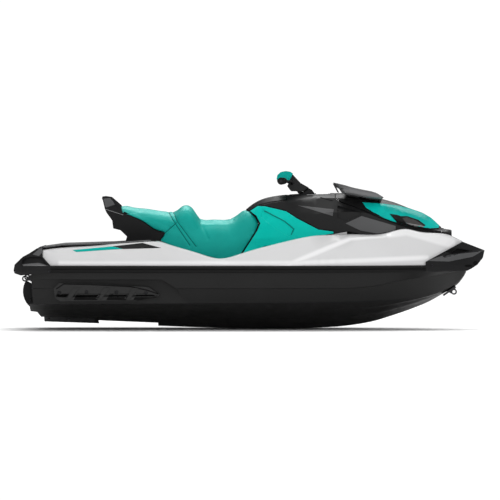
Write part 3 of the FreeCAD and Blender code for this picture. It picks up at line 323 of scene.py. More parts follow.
def vinyl(name, colour):
    """Marine vinyl: fine leather grain, soft sheen, and stitched seams on the saddle."""
    n = new_material(name)
    tint = n.spread(n.noise(5.0, detail=5.0), 0.0, 1.0)
    base = n.blend(tint, tone(colour, 0.93), tone(colour, 1.08))
    nearest = n.from_lines(SEAMS)
    groove = n.spread(nearest, 0.0, 1.0, *SEAM_EDGE)
    # The seams are darkened: painted shade in their grooves.
    base = n.blend(groove, tone(colour, SEAM_GROOVE_SHADE), base)
    beside = n.maths("ABSOLUTE", n.maths("SUBTRACT", nearest, STITCH_OFFSET))
    row = n.spread(beside, 1.0, 0.0, *STITCH_EDGE)
    rise = n.maths("MULTIPLY", n.part_of(n.coords, "Z"), STITCH_RATE)
    dash = n.maths("PINGPONG", rise, 0.5)
    stitch = n.maths("MULTIPLY", row, n.spread(dash, 0.0, 1.0, *STITCH_GAP))
    thread = n.maths("MULTIPLY", stitch, 0.5)
    n.link(n.blend(thread, base, tone(colour, STITCH_TONE)), "Base Color")
    n.link(n.spread(n.noise(30.0, detail=4.0), 0.40, 0.52), "Roughness")
    cells = n.add("ShaderNodeTexVoronoi", {"Vector": n.coords, "Scale": LEATHER_SCALE},
                  feature="DISTANCE_TO_EDGE").outputs["Distance"]
    grain = n.bump(n.spread(cells, 0.0, 1.0, 0.0, 0.25), 0.2, LEATHER_RELIEF)
    wrinkled = n.bump(n.noise(WRINKLE_SCALE, detail=3.0), 0.05, WRINKLE_RELIEF, grain)
    sewn = n.bump(groove, 0.9, SEAM_RELIEF, wrinkled)
    n.link(n.bump(stitch, 0.5, STITCH_RELIEF, sewn), "Normal")
    n.fix({"Specular IOR Level": 0.7, "Specular Tint": VINYL_GLOSS})
    return n.owner


def foam_mat(name, colour):
    """Closed-cell foam with cut diamond grooves and a brushed surface."""
    n = new_material(name)
    fleck = n.spread(n.noise(FOAM_FLECK_SCALE, detail=2.0), 0.0, 1.0)
    x, y = (n.part_of(n.coords, axis) for axis in "XY")
    waves = []
    for sign in (1.0, -1.0):
        diagonal = n.maths("ADD", x, n.maths("MULTIPLY", y, sign))
        waves.append(n.maths("PINGPONG", n.maths("MULTIPLY", diagonal, FOAM_GROOVE_RATE), 0.5))
    top = n.spread(n.maths("MINIMUM", *waves), 0.0, 1.0, *FOAM_GROOVE_EDGE)
    # The grooves are darkened below the top: painted shade in them.
    cut = n.blend(top, tone(colour, 0.35), tone(colour, 1.0))
    n.link(n.blend(n.maths("MULTIPLY", fleck, 0.3), cut, tone(colour, 1.9)), "Base Color")
    n.link(n.spread(fleck, 0.7, 0.9, 0.0, 1.0), "Roughness")
    fuzz = n.bump(n.noise(FOAM_FUZZ_SCALE, detail=2.0), 0.25, FOAM_FUZZ_RELIEF)
    n.link(n.bump(top, 0.8, FOAM_GROOVE_RELIEF, fuzz), "Normal")
    n.fix({"Specular IOR Level": 0.2})
    return n.owner


def brushed(name, colour, roughness):
    """Bright metal with a brushing direction."""
    n = new_material(name)
    along = n.add("ShaderNodeMapping", {"Vector": n.coords, "Scale": BRUSHING}).outputs[0]
    lines = n.noise(BRUSH_SCALE, detail=6.0, vector=along)
    n.link(n.blend(n.spread(lines, 0.0, 1.0), tone(colour, 0.8), tone(colour, 1.1)),
           "Base Color")
    n.link(n.spread(lines, roughness * 0.7, roughness * 1.3), "Roughness")
    n.link(n.bump(lines, 0.12, BRUSH_RELIEF, n.rounded(0.001)), "Normal")
    n.fix({"Metallic": 1.0})
    return n.owner


def mirror_mat(name):
    """Mirror glass where it looks back at the rider, with a black rim round it."""
    n = new_material(name)
    rim = n.spread(n.facing("X"), 0.0, 1.0, *MIRROR_FACING)
    film = n.spread(n.noise(60.0), *MIRROR_SILVER)
    silver = n.add("ShaderNodeCombineColor", {"Red": film, "Green": film, "Blue": film})
    n.link(n.blend(rim, silver.outputs["Color"], MIRROR_RIM), "Base Color")
    n.link(n.maths("SUBTRACT", 1.0, rim), "Metallic")
    n.link(n.spread(rim, 0.05, 0.5, 0.0, 1.0), "Roughness")
    return n.owner


def make_materials():
    """The record's material slots."""
    return {
        # The hull is darker on faces that turn down: painted shade on its underside.
        "hull_dark": moulded("hull_dark", (0.012, 0.012, 0.012), 0.36, grain=0.05, dust=0.12,
                             specular=0.16, under=(0.003, 0.003, 0.003)),
        # The deck is painted lighter along its creases and edges, as painted highlights, and
        # darker near the cowl's foot, as painted shade.
        "deck_white": moulded("deck_white", (0.68, 0.68, 0.685), 0.22, coat=0.3, edge=0.006,
                              variation=0.015,
                              painted_light=[(DECK_SHADE, 0.84, 0.0, 0.10),
                                       (DECK_HIGHLIGHT, 1.28, 0.006, 0.024),
                                       (DECK_TOP_HIGHLIGHT, 1.22, 0.025, 0.045)]),
        "rail_rubber": moulded("rail_rubber", (0.007, 0.007, 0.007), 0.5, grain=0.15,
                               specular=0.12),
        "trim_black": moulded("trim_black", (0.010, 0.010, 0.0105), 0.58, grain=0.25,
                              grain_scale=900.0, specular=0.16),
        "mat_foam": foam_mat("mat_foam", (0.10, 0.101, 0.103)),
        "seat_vinyl": vinyl("seat_vinyl", (0.003, 0.335, 0.285)),
        "console_grey": moulded("console_grey", (0.0125, 0.0127, 0.0130), 0.40, grain=0.1,
                                grain_scale=1100.0, specular=0.17),
        "panel_teal": moulded("panel_teal", (0.002, 0.37, 0.32), 0.2, edge=0.004,
                              variation=0.03, specular=0.5, tint=TEAL_GLOSS),
        "bin_black": moulded("bin_black", (0.012, 0.012, 0.012), 0.7, grain=0.2),
        "display_dark": moulded("display_dark", (0.006, 0.006, 0.007), 0.25, specular=0.08),
        "vent_dark": moulded("vent_dark", (0.008, 0.008, 0.009), 0.2, specular=0.3),
        "mirror_face": mirror_mat("mirror_face"),
        "bar_steel": moulded("bar_steel", (0.02, 0.02, 0.022), 0.4, metallic=0.6),
        "grip_rubber": moulded("grip_rubber", (0.008, 0.008, 0.008), 0.75, grain=0.5,
                               grain_scale=260.0, specular=0.15),
        "engine_metal": moulded("engine_metal", (0.12, 0.12, 0.12), 0.6, grain=0.4,
                                metallic=0.5),
        "pump_metal": moulded("pump_metal", (0.10, 0.10, 0.105), 0.5, grain=0.5, metallic=0.7),
        "gate_metal": moulded("gate_metal", (0.012, 0.012, 0.013), 0.5, grain=0.4,
                              metallic=0.2),
        "impeller_steel": brushed("impeller_steel", (0.55, 0.55, 0.57), 0.3),
    }


def make_finishes(materials):
    """Adds the finishes of films and trims, several of which are painted highlights and painted
    shade, and gives the nodes that have one of their own.
    """
    # The wing is painted lighter along a band on its side: a painted highlight.
    wing = moulded("wing_satin_painted_highlight", (0.075, 0.075, 0.077), 0.3, grain=0.06,
                   grain_scale=1100.0, specular=0.35,
                   painted_light=[(WING_HIGHLIGHT, 2.1, 0.004, 0.034)])
    eye = brushed("dark_steel", (0.045, 0.045, 0.047), 0.4)
    materials["lens_grey"] = moulded("lens_grey", (0.16, 0.155, 0.155), 0.15, coat=0.6,
                                     specular=0.5)
    # Near-black that paints the shade in recesses, pockets and vent openings.
    materials["painted_recess_shade"] = moulded("painted_recess_shade", (0.003, 0.003, 0.003), 0.6, grain=0.2,
                                        specular=0.08)
    # Lighter grey that paints highlights on lit facets and ledges.
    materials["painted_highlight_grey"] = moulded("painted_highlight_grey", (0.085, 0.086, 0.088), 0.34, grain=0.08,
                                      grain_scale=1100.0)
    # Light grey that paints highlights on edges.
    materials["painted_highlight_rim"] = moulded("painted_highlight_rim", (0.26, 0.26, 0.265), 0.3, grain=0.05)
    # Black rubber for seals and the gaiter; on beads it paints the shadow lines of joints.
    materials["rubber_and_shadow_lines"] = moulded("rubber_and_shadow_lines", (0.004, 0.004, 0.004), 0.7, grain=0.3,
                                       specular=0.1)
    materials["teal_shadow"] = moulded("teal_shadow", (0.001, 0.24, 0.20), 0.4, specular=0.1)
    materials["lens_dark"] = moulded("lens_dark", (0.030, 0.027, 0.026), 0.12, coat=0.4)
    knee = moulded("knee_teal", (0.002, 0.60, 0.50), 0.3, edge=0.004, variation=0.04,
                   specular=0.4, tint=TEAL_GLOSS)
    # The hood's teal is painted lighter at its rear, where the wing shades it, and darker along
    # its top: painted light and painted shade.
    hood = moulded("hood_teal", (0.002, 0.42, 0.37), 0.25, edge=0.004, variation=0.03,
                   specular=0.08, tint=TEAL_GLOSS,
                   painted_light=[(HOOD_REAR_PAINTED_LIGHT, 1.6, 0.020, 0.090),
                            (HOOD_SHADE, 0.75, 0.010, 0.045)])
    fin = moulded("sponson_satin", (0.021, 0.021, 0.021), 0.45, grain=0.2, specular=0.2)
    return {"mirror_wing": wing, "stern_eyes": eye, "bow_eye": eye, "knee_panels": knee,
            "hood_panels": hood, "sponsons": fin}


# Meshes


def new_object(name, mesh, material, body):
    piece = bpy.data.objects.new(name, mesh)
    bpy.context.scene.collection.objects.link(piece)
    piece.data.materials.append(material)
    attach(piece, body)
    return piece


def smooth_cad(piece):
    """Shades faces smoothly, with breaks at the construction's edges."""
    mesh = piece.data
    mesh.polygons.foreach_set("use_smooth", [True] * len(mesh.polygons))
    weld = piece.modifiers.new("weld", "WELD")
    weld.merge_threshold = WELD_DISTANCE
    split = piece.modifiers.new("split", "EDGE_SPLIT")
    split.split_angle = CAD_EDGE_ANGLE
    weighted = piece.modifiers.new("weighted", "WEIGHTED_NORMAL")
    weighted.keep_sharp = True


def surface_of(names):
    """Ray-cast tree over CAD nodes, in the frame."""
    points = []
    faces = []
    for name in names:
        mesh = nodes[name].data
        start = len(points)
        points += [v.co.copy() for v in mesh.vertices]
        faces += [[start + i for i in p.vertices] for p in mesh.polygons]
    return BVHTree.FromPolygons(points, faces)


def finely_cut(bm):
    """Cuts a flat side-view mesh into cells so that it can follow a curved surface."""
    for axis in (0, 2):
        low = min(v.co[axis] for v in bm.verts)
        high = max(v.co[axis] for v in bm.verts)
        normal = Vector((0, 0, 0))
        normal[axis] = 1
        for i in range(1, int((high - low) / FILM_CELL) + 1):
            geom = bm.verts[:] + bm.edges[:] + bm.faces[:]
            bmesh.ops.bisect_plane(bm, geom=geom, plane_co=normal * (low + i * FILM_CELL),
                                   plane_no=normal, dist=CUT_TOLERANCE)


def met(tree, start, direction):
    """Where a straight look meets the surface, and the way the surface faces there."""
    hit, normal, _, _ = tree.ray_cast(start, direction)
    if hit is None:
        return None, None
    return hit, normal if normal.dot(direction) < 0 else -normal


def inward(side):
    """The way from outside a side of the craft straight in."""
    return Vector((0, -side, 0))


def side_film(name, outline, tree, material, body, lift=FILM_LIFT):
    """Thin film laid on both sides of the craft from a side-view outline."""
    bm = bmesh.new()
    for side in (-1, 1):
        sheet = bmesh.new()
        corners = [sheet.verts.new(spot(s, h, side)) for s, h in outline]
        sheet.faces.new(corners)
        bmesh.ops.triangulate(sheet, faces=sheet.faces[:])
        finely_cut(sheet)
        missed = []
        for v in sheet.verts:
            hit, outward = met(tree, v.co, inward(side))
            if hit is None:
                missed.append(v)
            else:
                v.co = hit + outward * lift
        bmesh.ops.delete(sheet, geom=missed, context="VERTS")
        part = bpy.data.meshes.new("part")
        sheet.to_mesh(part)
        sheet.free()
        bm.from_mesh(part)
        bpy.data.meshes.remove(part)
    bmesh.ops.recalc_face_normals(bm, faces=bm.faces[:])
    mesh = bpy.data.meshes.new(name)
    bm.to_mesh(mesh)
    bm.free()
    film = new_object(name, mesh, material, body)
    film.modifiers.new("solid", "SOLIDIFY").thickness = FILM_THICKNESS


def walked(line):
    """Places along a side-view line, a step or less apart."""
    places = [line[0]]
    for (x0, z0), (x1, z1) in zip(line, line[1:]):
        count = max(1, math.ceil(math.hypot(x1 - x0, z1 - z0) / TRIM_STEP))
        for i in range(1, count + 1):
            share = i / count
            places.append((x0 + (x1 - x0) * share, z0 + (z1 - z0) * share))
    return places


def evened(run):
    """The same places with small steps in their breadth taken out."""
    even = []
    for i, place in enumerate(run):
        near = run[max(0, i - EVENED_REACH):i + EVENED_REACH + 1]
        even.append(Vector((place.x, sum(p.y for p in near) / len(near), place.z)))
    return even


def bead(name, line, radius, tree, material, body):
    """Round bead partly sunk in both sides of the craft along a side-view line."""
    data = bpy.data.curves.new(name, "CURVE")
    data.dimensions = "3D"
    data.bevel_depth = radius
    data.bevel_resolution = 2
    data.use_fill_caps = True
    for side in (-1, 1):
        runs = [[]]
        for station, height in walked(line):
            hit, outward = met(tree, spot(station, height, side), inward(side))
            if hit is not None:
                hit = hit + outward * radius * BEAD_RISE
            if hit is None or (runs[-1] and (hit - runs[-1][-1]).length > BEAD_JUMP):
                runs.append([])
            if hit is not None:
                runs[-1].append(hit)
        for run in runs:
            if len(run) < 2:
                continue
            spline = data.splines.new("POLY")
            spline.points.add(len(run) - 1)
            for point, place in zip(spline.points, evened(run)):
                point.co = (*place, 1.0)
    new_object(name, data, material, body)


def seal(name, line, thickness, tree, rubber):
    """Flat rubber lip set back inside a gap between two panels, on both sides."""
    bm = bmesh.new()
    places = [spot(*p) for p in walked(line)]
    for side in (-1, 1):
        rows = []
        for before, place, after in zip(places[:1] + places, places, places[1:] + places[-1:]):
            along = (after - before).normalized()
            across = Vector((-along.z, 0, along.x))
            reach = []
            for away in (-SEAL_LOOK, SEAL_LOOK):
                look = place + across * away
                hit, _ = met(tree, Vector((look.x, side, look.z)), inward(side))
                if hit is not None:
                    reach.append(abs(hit.y))
            if not reach:
                continue
            outer = (min(reach) - SEAL_INSET) * side
            inner = outer - SEAL_DEPTH * side
            corners = []
            for up, y in ((-1, outer), (1, outer), (1, inner), (-1, inner)):
                corner = place + across * up * thickness / 2
                corner.y = y
                corners.append(bm.verts.new(corner))
            rows.append(corners)
        for first, second in zip(rows, rows[1:]):
            for i in range(4):
                j = (i + 1) % 4
                bm.faces.new((first[i], first[j], second[j], second[i]))
        bm.faces.new(rows[0])
        bm.faces.new(rows[-1])
    finish_mesh(name, bm, rubber, "craft")


def lathe(bm, profile, place, facing, segments=24, ring_shaped=False):
    """Adds a turned piece at a place: a profile of radii and heights along a direction."""
    turn = facing.to_track_quat("Z", "Y").to_matrix().to_4x4()
    move = Matrix.Translation(place) @ turn
    rings = []
    for radius, height in profile:
        ring = []
        for i in range(segments):
            a = 2 * math.pi * i / segments
            ring.append(bm.verts.new(move @ Vector((radius * math.cos(a), radius * math.sin(a),
                                                    height))))
        rings.append(ring)
    if ring_shaped:
        rings.append(rings[0])
    for lower, upper in zip(rings, rings[1:]):
        for i in range(segments):
            j = (i + 1) % segments
            bm.faces.new((lower[i], lower[j], upper[j], upper[i]))
    if not ring_shaped:
        bm.faces.new(rings[-1])


def finish_mesh(name, bm, material, body):
    bmesh.ops.recalc_face_normals(bm, faces=bm.faces[:])
    mesh = bpy.data.meshes.new(name)
    bm.to_mesh(mesh)
    bm.free()
    mesh.polygons.foreach_set("use_smooth", [True] * len(mesh.polygons))
    piece = new_object(name, mesh, material, body)
    split = piece.modifiers.new("split", "EDGE_SPLIT")
    split.split_angle = TRIM_EDGE_ANGLE


# Radii and heights in shares of the head's radius
BOLT_PROFILE = [(1.0, -0.2), (1.0, 0.18), (0.86, 0.40), (0.5, 0.52), (0.42, 0.52), (0.42, 0.18),
                (0.05, 0.12)]
BELOW_KEEL = -0.5


def sideways(places):
    """Looks at both sides of the craft, at side-view places."""
    return [(spot(station, height, side), inward(side))
            for side in (-1, 1) for station, height in places]


def upwards(places):
    """Looks at the underside, at plan-view places on both sides."""
    return [(spot(station, BELOW_KEEL, breadth * side), Vector((0, 0, 1)))
            for station, breadth in places for side in (-1, 1)]


def bolts(name, looks, radius, carriers, steel, body="craft"):
    """Button-head screws that stand square on the surface where each look meets it."""
    bm = bmesh.new()
    tree = surface_of(carriers)
    profile = [(r * radius, h * radius) for r, h in BOLT_PROFILE]
    for start, direction in looks:
        hit, outward = met(tree, start, direction)
        if hit is not None:
            lathe(bm, profile, hit, outward)
    finish_mesh(name, bm, steel, body)


# Seat


def apply_modifiers(piece):
    graph = bpy.context.evaluated_depsgraph_get()
    shaped = bpy.data.meshes.new_from_object(piece.evaluated_get(graph))
    piece.modifiers.clear()
    piece.data = shaped


def points_of(mesh):
    points = np.empty(len(mesh.vertices) * 3, np.float32)
    mesh.vertices.foreach_get("co", points)
    return points.reshape(-1, 3).astype(float)


def normals_of(mesh):
    normals = np.empty(len(mesh.vertices) * 3, np.float32)
    mesh.vertex_normals.foreach_get("vector", normals)
    return normals.reshape(-1, 3).astype(float)


def place_points(mesh, points):
    mesh.vertices.foreach_set("co", points.astype(np.float32).ravel())
    mesh.update()


def swell(pad):
    """Lets the cover fill out as cloth under pressure, held along its foot."""
    start = points_of(pad.data)
    foot = np.nonzero(normals_of(pad.data)[:, 2] < SEAT_FOOT_FACING)[0]
    held = pad.vertex_groups.new(name="held")
    held.add([int(i) for i in foot], 1.0, "ADD")
    cloth = pad.modifiers.new("cloth", "CLOTH")
    cloth.settings.use_pressure = True
    cloth.settings.uniform_pressure_force = CLOTH_PRESSURE
    cloth.settings.effector_weights.gravity = 0.0
    cloth.settings.vertex_group_mass = "held"
    scene = bpy.context.scene
    for number in range(1, CLOTH_FRAMES + 1):
        scene.frame_set(number)
    apply_modifiers(pad)
    scene.frame_set(1)
    move = points_of(pad.data) - start
    length = np.linalg.norm(move, axis=1)
    capped = np.minimum(1.0, SEAT_SWELL / np.maximum(length, 1e-9))
    place_points(pad.data, start + move * capped[:, None])


def from_segment(points, start, end):
    """Distance of each point from a straight line between two places, in the side view."""
    a = np.array([start.x, start.z])
    along = np.array([end.x, end.z]) - a
    offset = points[:, [0, 2]] - a
    share = np.clip(offset @ along / (along @ along), 0.0, 1.0)
    return np.linalg.norm(offset - share[:, None] * along, axis=1)


def top_line(points):
    """Height of the saddle's top above each point, in the frame."""
    stations = points[:, 0]
    marks = np.arange(stations.min() + SEAT_TOP_STEP / 2, stations.max(), SEAT_TOP_STEP)
    tops = [points[np.abs(stations - m) < SEAT_TOP_LOOK, 2].max() for m in marks]
    return np.interp(stations, marks, tops)


def round_shoulders(pad):
    """Draws the saddle in towards its top, so that its sides roll over into it."""
    points = points_of(pad.data)
    below = np.clip((top_line(points) - points[:, 2]) / SHOULDER_DEPTH, 0.0, 1.0)
    points[:, 1] *= 1.0 - SHOULDER_SHARE * (1.0 - below) ** 2
    place_points(pad.data, points)


def fit_rear_top(pad):
    """Brings the saddle's rear top to the photograph's line, and its end back to the handle."""
    points = points_of(pad.data)
    stations = points[:, 0] + REFERENCE_STATION
    heights = points[:, 2] + WATERLINE
    now = top_line(points) + WATERLINE
    wanted = np.interp(stations, *zip(*SEAT_REAR_TOP))
    share = np.clip((heights - now + SEAT_TOP_DEPTH) / SEAT_TOP_DEPTH, 0.0, 1.0)
    share = share * share * (3 - 2 * share)
    share = share * np.clip((SEAT_REAR_TOP[-1][0] - stations) / SEAT_REAR_FADE, 0.0, 1.0)
    points[:, 2] += (wanted - now) * share
    behind = np.clip((SEAT_REAR_START - stations) / SEAT_REAR_BEND, 0.0, 1.0)
    points[:, 0] -= SEAT_REAR_REACH * behind
    place_points(pad.data, points)


def seat_pad(materials):
    """Padded saddle: the solid remeshed, swollen as cloth, fitted and drawn in at its seams."""
    pad = bpy.data.objects.new("seat_pad", nodes["seat"].data.copy())
    bpy.context.scene.collection.objects.link(pad)
    remesh = pad.modifiers.new("voxels", "REMESH")
    remesh.mode = "VOXEL"
    remesh.voxel_size = SEAT_VOXEL
    relax = pad.modifiers.new("relax", "SMOOTH")
    relax.iterations = SEAT_SMOOTHINGS
    apply_modifiers(pad)
    place_points(pad.data, points_of(pad.data) - normals_of(pad.data) * SEAT_SHRINK)
    swell(pad)
    fit_rear_top(pad)
    round_shoulders(pad)
    fine = pad.modifiers.new("fine", "SUBSURF")
    fine.levels = 1
    fine.render_levels = 1
    apply_modifiers(pad)
    points = points_of(pad.data)
    gap = np.min([from_segment(points, spot(*a), spot(*b)) for a, b in SEAMS + CREASES], axis=0)
    pull = SEAM_DEPTH * np.exp(-(gap / SEAM_WIDTH) ** 2)
    place_points(pad.data, points - normals_of(pad.data) * pull[:, None])
    pad.data.polygons.foreach_set("use_smooth", [True] * len(pad.data.polygons))
    pad.data.materials.clear()
    pad.data.materials.append(materials["seat_vinyl"])
    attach(pad, "craft")
    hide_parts("seat")


# Films, beads, seals and screws

# Outlines of films in the side view
TEAL_STRIPE = [(0.415, 0.564), (0.694, 0.590), (0.768, 0.572), (0.443, 0.550)]
GREY_STRIPE = [(0.696, 0.590), (0.905, 0.614), (1.038, 0.579), (0.772, 0.571)]
VENT_TAIL = [(2.641, 0.813), (2.690, 0.806), (2.722, 0.796), (2.722, 0.785), (2.754, 0.752),
             (2.747, 0.736), (2.731, 0.730), (2.690, 0.756), (2.668, 0.784)]
VENT_TOP = [(2.690, 0.806), (2.722, 0.798), (2.766, 0.798), (2.846, 0.771), (2.896, 0.734),
            (2.890, 0.728), (2.839, 0.762), (2.761, 0.788), (2.722, 0.785)]
VENT_FOOT = [(2.754, 0.7505), (2.818, 0.7215), (2.900, 0.712), (2.962, 0.704), (2.900, 0.700),
             (2.720, 0.722), (2.731, 0.730), (2.747, 0.736)]
LENS = [(2.722, 0.785), (2.761, 0.788), (2.839, 0.762), (2.890, 0.728), (2.867, 0.734),
        (2.811, 0.742), (2.754, 0.752)]
LENS_EDGE = [(2.754, 0.7510), (2.811, 0.7410), (2.867, 0.7330), (2.888, 0.726), (2.880, 0.722),
             (2.818, 0.722)]
# Lighter films on these outlines are painted highlights on lit facets, ledges and tops.
CONSOLE_FACET_HIGHLIGHT = [(1.996, 0.873), (2.248, 0.846), (2.240, 0.800)]
COWL_FACET_HIGHLIGHT = [(2.330, 0.748), (2.443, 0.800), (2.683, 0.730), (2.683, 0.698), (2.556, 0.676),
              (2.436, 0.698)]
HANDLE_FACET_HIGHLIGHT = [(0.624, 0.921), (0.672, 0.926), (0.695, 0.900), (0.706, 0.879), (0.642, 0.857)]
BOW_LEDGE_HIGHLIGHT = [(2.902, 0.485), (3.009, 0.519), (3.085, 0.528), (3.262, 0.544), (3.302, 0.552),
             (3.226, 0.510), (3.058, 0.479)]
BOW_RECESS = [(3.030, 0.551), (3.093, 0.572), (3.231, 0.555), (3.086, 0.533)]
STERN_LEDGE_HIGHLIGHT = [(0.061, 0.463), (0.175, 0.474), (0.252, 0.454), (0.069, 0.452)]
STERN_TOP_HIGHLIGHT = [(0.135, 0.532), (0.182, 0.573), (0.203, 0.578), (0.203, 0.545), (0.180, 0.522)]
SPONSON_POCKETS = [
    [(0.304, 0.2586), (0.395, 0.2586), (0.378, 0.231), (0.312, 0.236)],
    [(0.447, 0.2586), (0.616, 0.2586), (0.588, 0.214), (0.423, 0.214)],
    [(0.676, 0.2586), (0.812, 0.2586), (0.790, 0.214), (0.653, 0.214)],
    [(0.865, 0.2586), (0.930, 0.2586), (1.015, 0.246), (0.917, 0.2247), (0.842, 0.214)]]

# Station, height, half length and half height
BOW_OVALS = [(3.199, 0.447, 0.028, 0.009), (3.249, 0.465, 0.016, 0.016)]

# Lines of beads in the side view
SPONSON_TOP = [(0.302, 0.292), (0.355, 0.327), (0.542, 0.323), (0.825, 0.308), (0.936, 0.284),
               (1.030, 0.252)]
SPONSON_FOOT = [(0.309, 0.202), (0.464, 0.194), (0.818, 0.206), (1.025, 0.240)]
KNEE_EDGE = [(1.720, 0.873), (1.767, 0.870), (1.913, 0.836), (1.986, 0.788), (2.140, 0.708),
             (2.248, 0.694)]
KNEE_CREASE = [(1.760, 0.834), (1.900, 0.764), (1.966, 0.708), (1.950, 0.668)]
PANEL_EDGE = [(2.996, 0.735), (2.990, 0.712), (2.930, 0.710), (2.731, 0.742), (2.622, 0.775),
              (2.550, 0.812), (2.478, 0.856), (2.452, 0.890)]
BASE_EDGE = [(0.640, 0.846), (0.765, 0.806)]
CONSOLE_RIM = [(2.060, 0.947), (2.250, 0.949)]
CONSOLE_LINE = [(2.153, 0.930), (2.248, 0.905)]

# Lines along gaps between panels, in the side view
HOOD_REAR_GAP = [(2.2595, 0.957), (2.2595, 0.922)]
HOOD_GAP = [(2.2595, 0.9275), (2.2975, 0.8975), (2.3975, 0.8615), (2.4675, 0.8355)]
HOOD_NOSE_GAP = [(2.944, 0.6915), (2.988, 0.6875), (3.008, 0.6855)]
GLOVE_GAP = [(1.640, 0.8235), (1.720, 0.8755), (1.800, 0.8955), (1.922, 0.9125)]
GLOVE_END_GAP = [(1.9185, 0.908), (1.9185, 0.942)]
SEAT_GAP = [(1.608, 0.893), (1.641, 0.843), (1.705, 0.793), (1.728, 0.745), (1.705, 0.691),
            (1.592, 0.514)]
FOOT_GAP = [(2.320, 0.6835), (2.400, 0.6835), (2.440, 0.6790)]
BASE_GAP = [(0.768, 0.824), (0.846, 0.789), (0.915, 0.755), (0.975, 0.710), (1.025, 0.690),
            (1.062, 0.682), (1.022, 0.624)]

# Screws in the side view, and those of the ride plate as stations and breadths
SPONSON_BOLTS = [(0.324, 0.266), (0.514, 0.270), (0.724, 0.269), (0.930, 0.264)]
CAP_BOLTS = [(0.252, 0.415), (2.938, 0.454)]
GATE_BOLTS = [(0.205, 0.268)]
PLATE_BOLTS = [(0.240, 0.090), (0.520, 0.090), (0.380, 0.100)]

# Steering and fuel cap, as built
STEER_BASE = (2.030, 0.945)
STEER_RAKE = math.radians(52)
GAITER_FOOT = 0.0079
GAITER_PROFILE = [(0.019, 0.0), (0.0645, 0.0), (0.0665, 0.0025), (0.0645, 0.0050),
                  (0.0665, 0.0075), (0.0645, 0.0100), (0.019, 0.0100)]
GRIP_INNER = (1.888, 0.262)
GRIP_OUTER = (1.8765, 0.392)
GRIP_HEIGHT = 1.046
GRIP_RIBS = 15
RIBS_START = 0.12
RIBS_SPAN = 0.76
RIB_PROFILE = [(0.0160, -0.0018), (0.0176, -0.0010), (0.0176, 0.0010), (0.0160, 0.0018)]
FUEL_CAP_TOP = (2.120, 0.8792, 0.2549)
FUEL_CAP_AXIS = (0.0, 0.86, 0.51)
FUEL_RIM_PROFILE = [(0.040, -0.001), (0.041, 0.002), (0.038, 0.0035), (0.031, 0.0035),
                    (0.029, 0.0020), (0.010, 0.0024)]


def oval(station, height, half_length, half_height, corners=16):
    """Side-view outline of an oval."""
    turns = [2 * math.pi * i / corners for i in range(corners)]
    return [(station + half_length * math.cos(a), height + half_height * math.sin(a))
            for a in turns]


def make_films(materials):
    """Stripes, lighter films on facets and ledges as painted highlights, near-black films as
    painted shade in recesses and in the vents' openings, and the vents' lenses.
    """

    def film(name, outline, carriers, finish, body, slot, lift=FILM_LIFT):
        side_film(name, outline, surface_of(carriers), materials[finish], body, lift)

    film("teal_stripe", TEAL_STRIPE, ["deck"], "panel_teal", "craft", "panel_teal")
    film("grey_stripe", GREY_STRIPE, ["deck"], "console_grey", "craft", "console_grey")
    # Near-black films paint the shade in the vents' openings.
    vents = ["hood_panels", "hood_vents", "hood_shell"]
    film("vent_tail", VENT_TAIL, vents, "painted_recess_shade", "hood", "vent_dark", VENT_LIFT)
    film("vent_top", VENT_TOP, vents, "painted_recess_shade", "hood", "vent_dark")
    film("vent_foot", VENT_FOOT, vents, "painted_recess_shade", "hood", "vent_dark", VENT_LIFT)
    film("vent_lens", LENS, vents, "lens_dark", "hood", "vent_dark")
    film("vent_lens_edge", LENS_EDGE, vents, "lens_grey", "hood", "vent_dark")
    # Lighter grey films here paint highlights on lit facets and ledges.
    film("console_facet_highlight", CONSOLE_FACET_HIGHLIGHT, ["console"], "painted_highlight_grey", "craft", "console_grey")
    film("cowl_facet_highlight", COWL_FACET_HIGHLIGHT, ["front_cowl"], "painted_highlight_grey", "craft", "console_grey")
    film("handle_facet_highlight", HANDLE_FACET_HIGHLIGHT, ["grab_handle"], "painted_highlight_grey", "craft", "trim_black")
    film("bow_ledge_highlight", BOW_LEDGE_HIGHLIGHT, ["bow_cap"], "painted_highlight_grey", "craft", "trim_black")
    # Near-black films on the bow cap, here and in the ovals below, paint the shade in its recess
    # and ovals.
    film("bow_recess", BOW_RECESS, ["bow_cap"], "painted_recess_shade", "craft", "trim_black")
    film("stern_ledge_highlight", STERN_LEDGE_HIGHLIGHT, ["stern_cap"], "painted_highlight_grey", "craft", "trim_black")
    film("stern_top_highlight", STERN_TOP_HIGHLIGHT, ["stern_cap"], "painted_highlight_grey", "craft", "trim_black")
    for number, (station, height, long, high) in enumerate(BOW_OVALS):
        film(f"bow_oval_{number}", oval(station, height, long, high), ["bow_cap"],
             "painted_recess_shade", "craft", "trim_black")


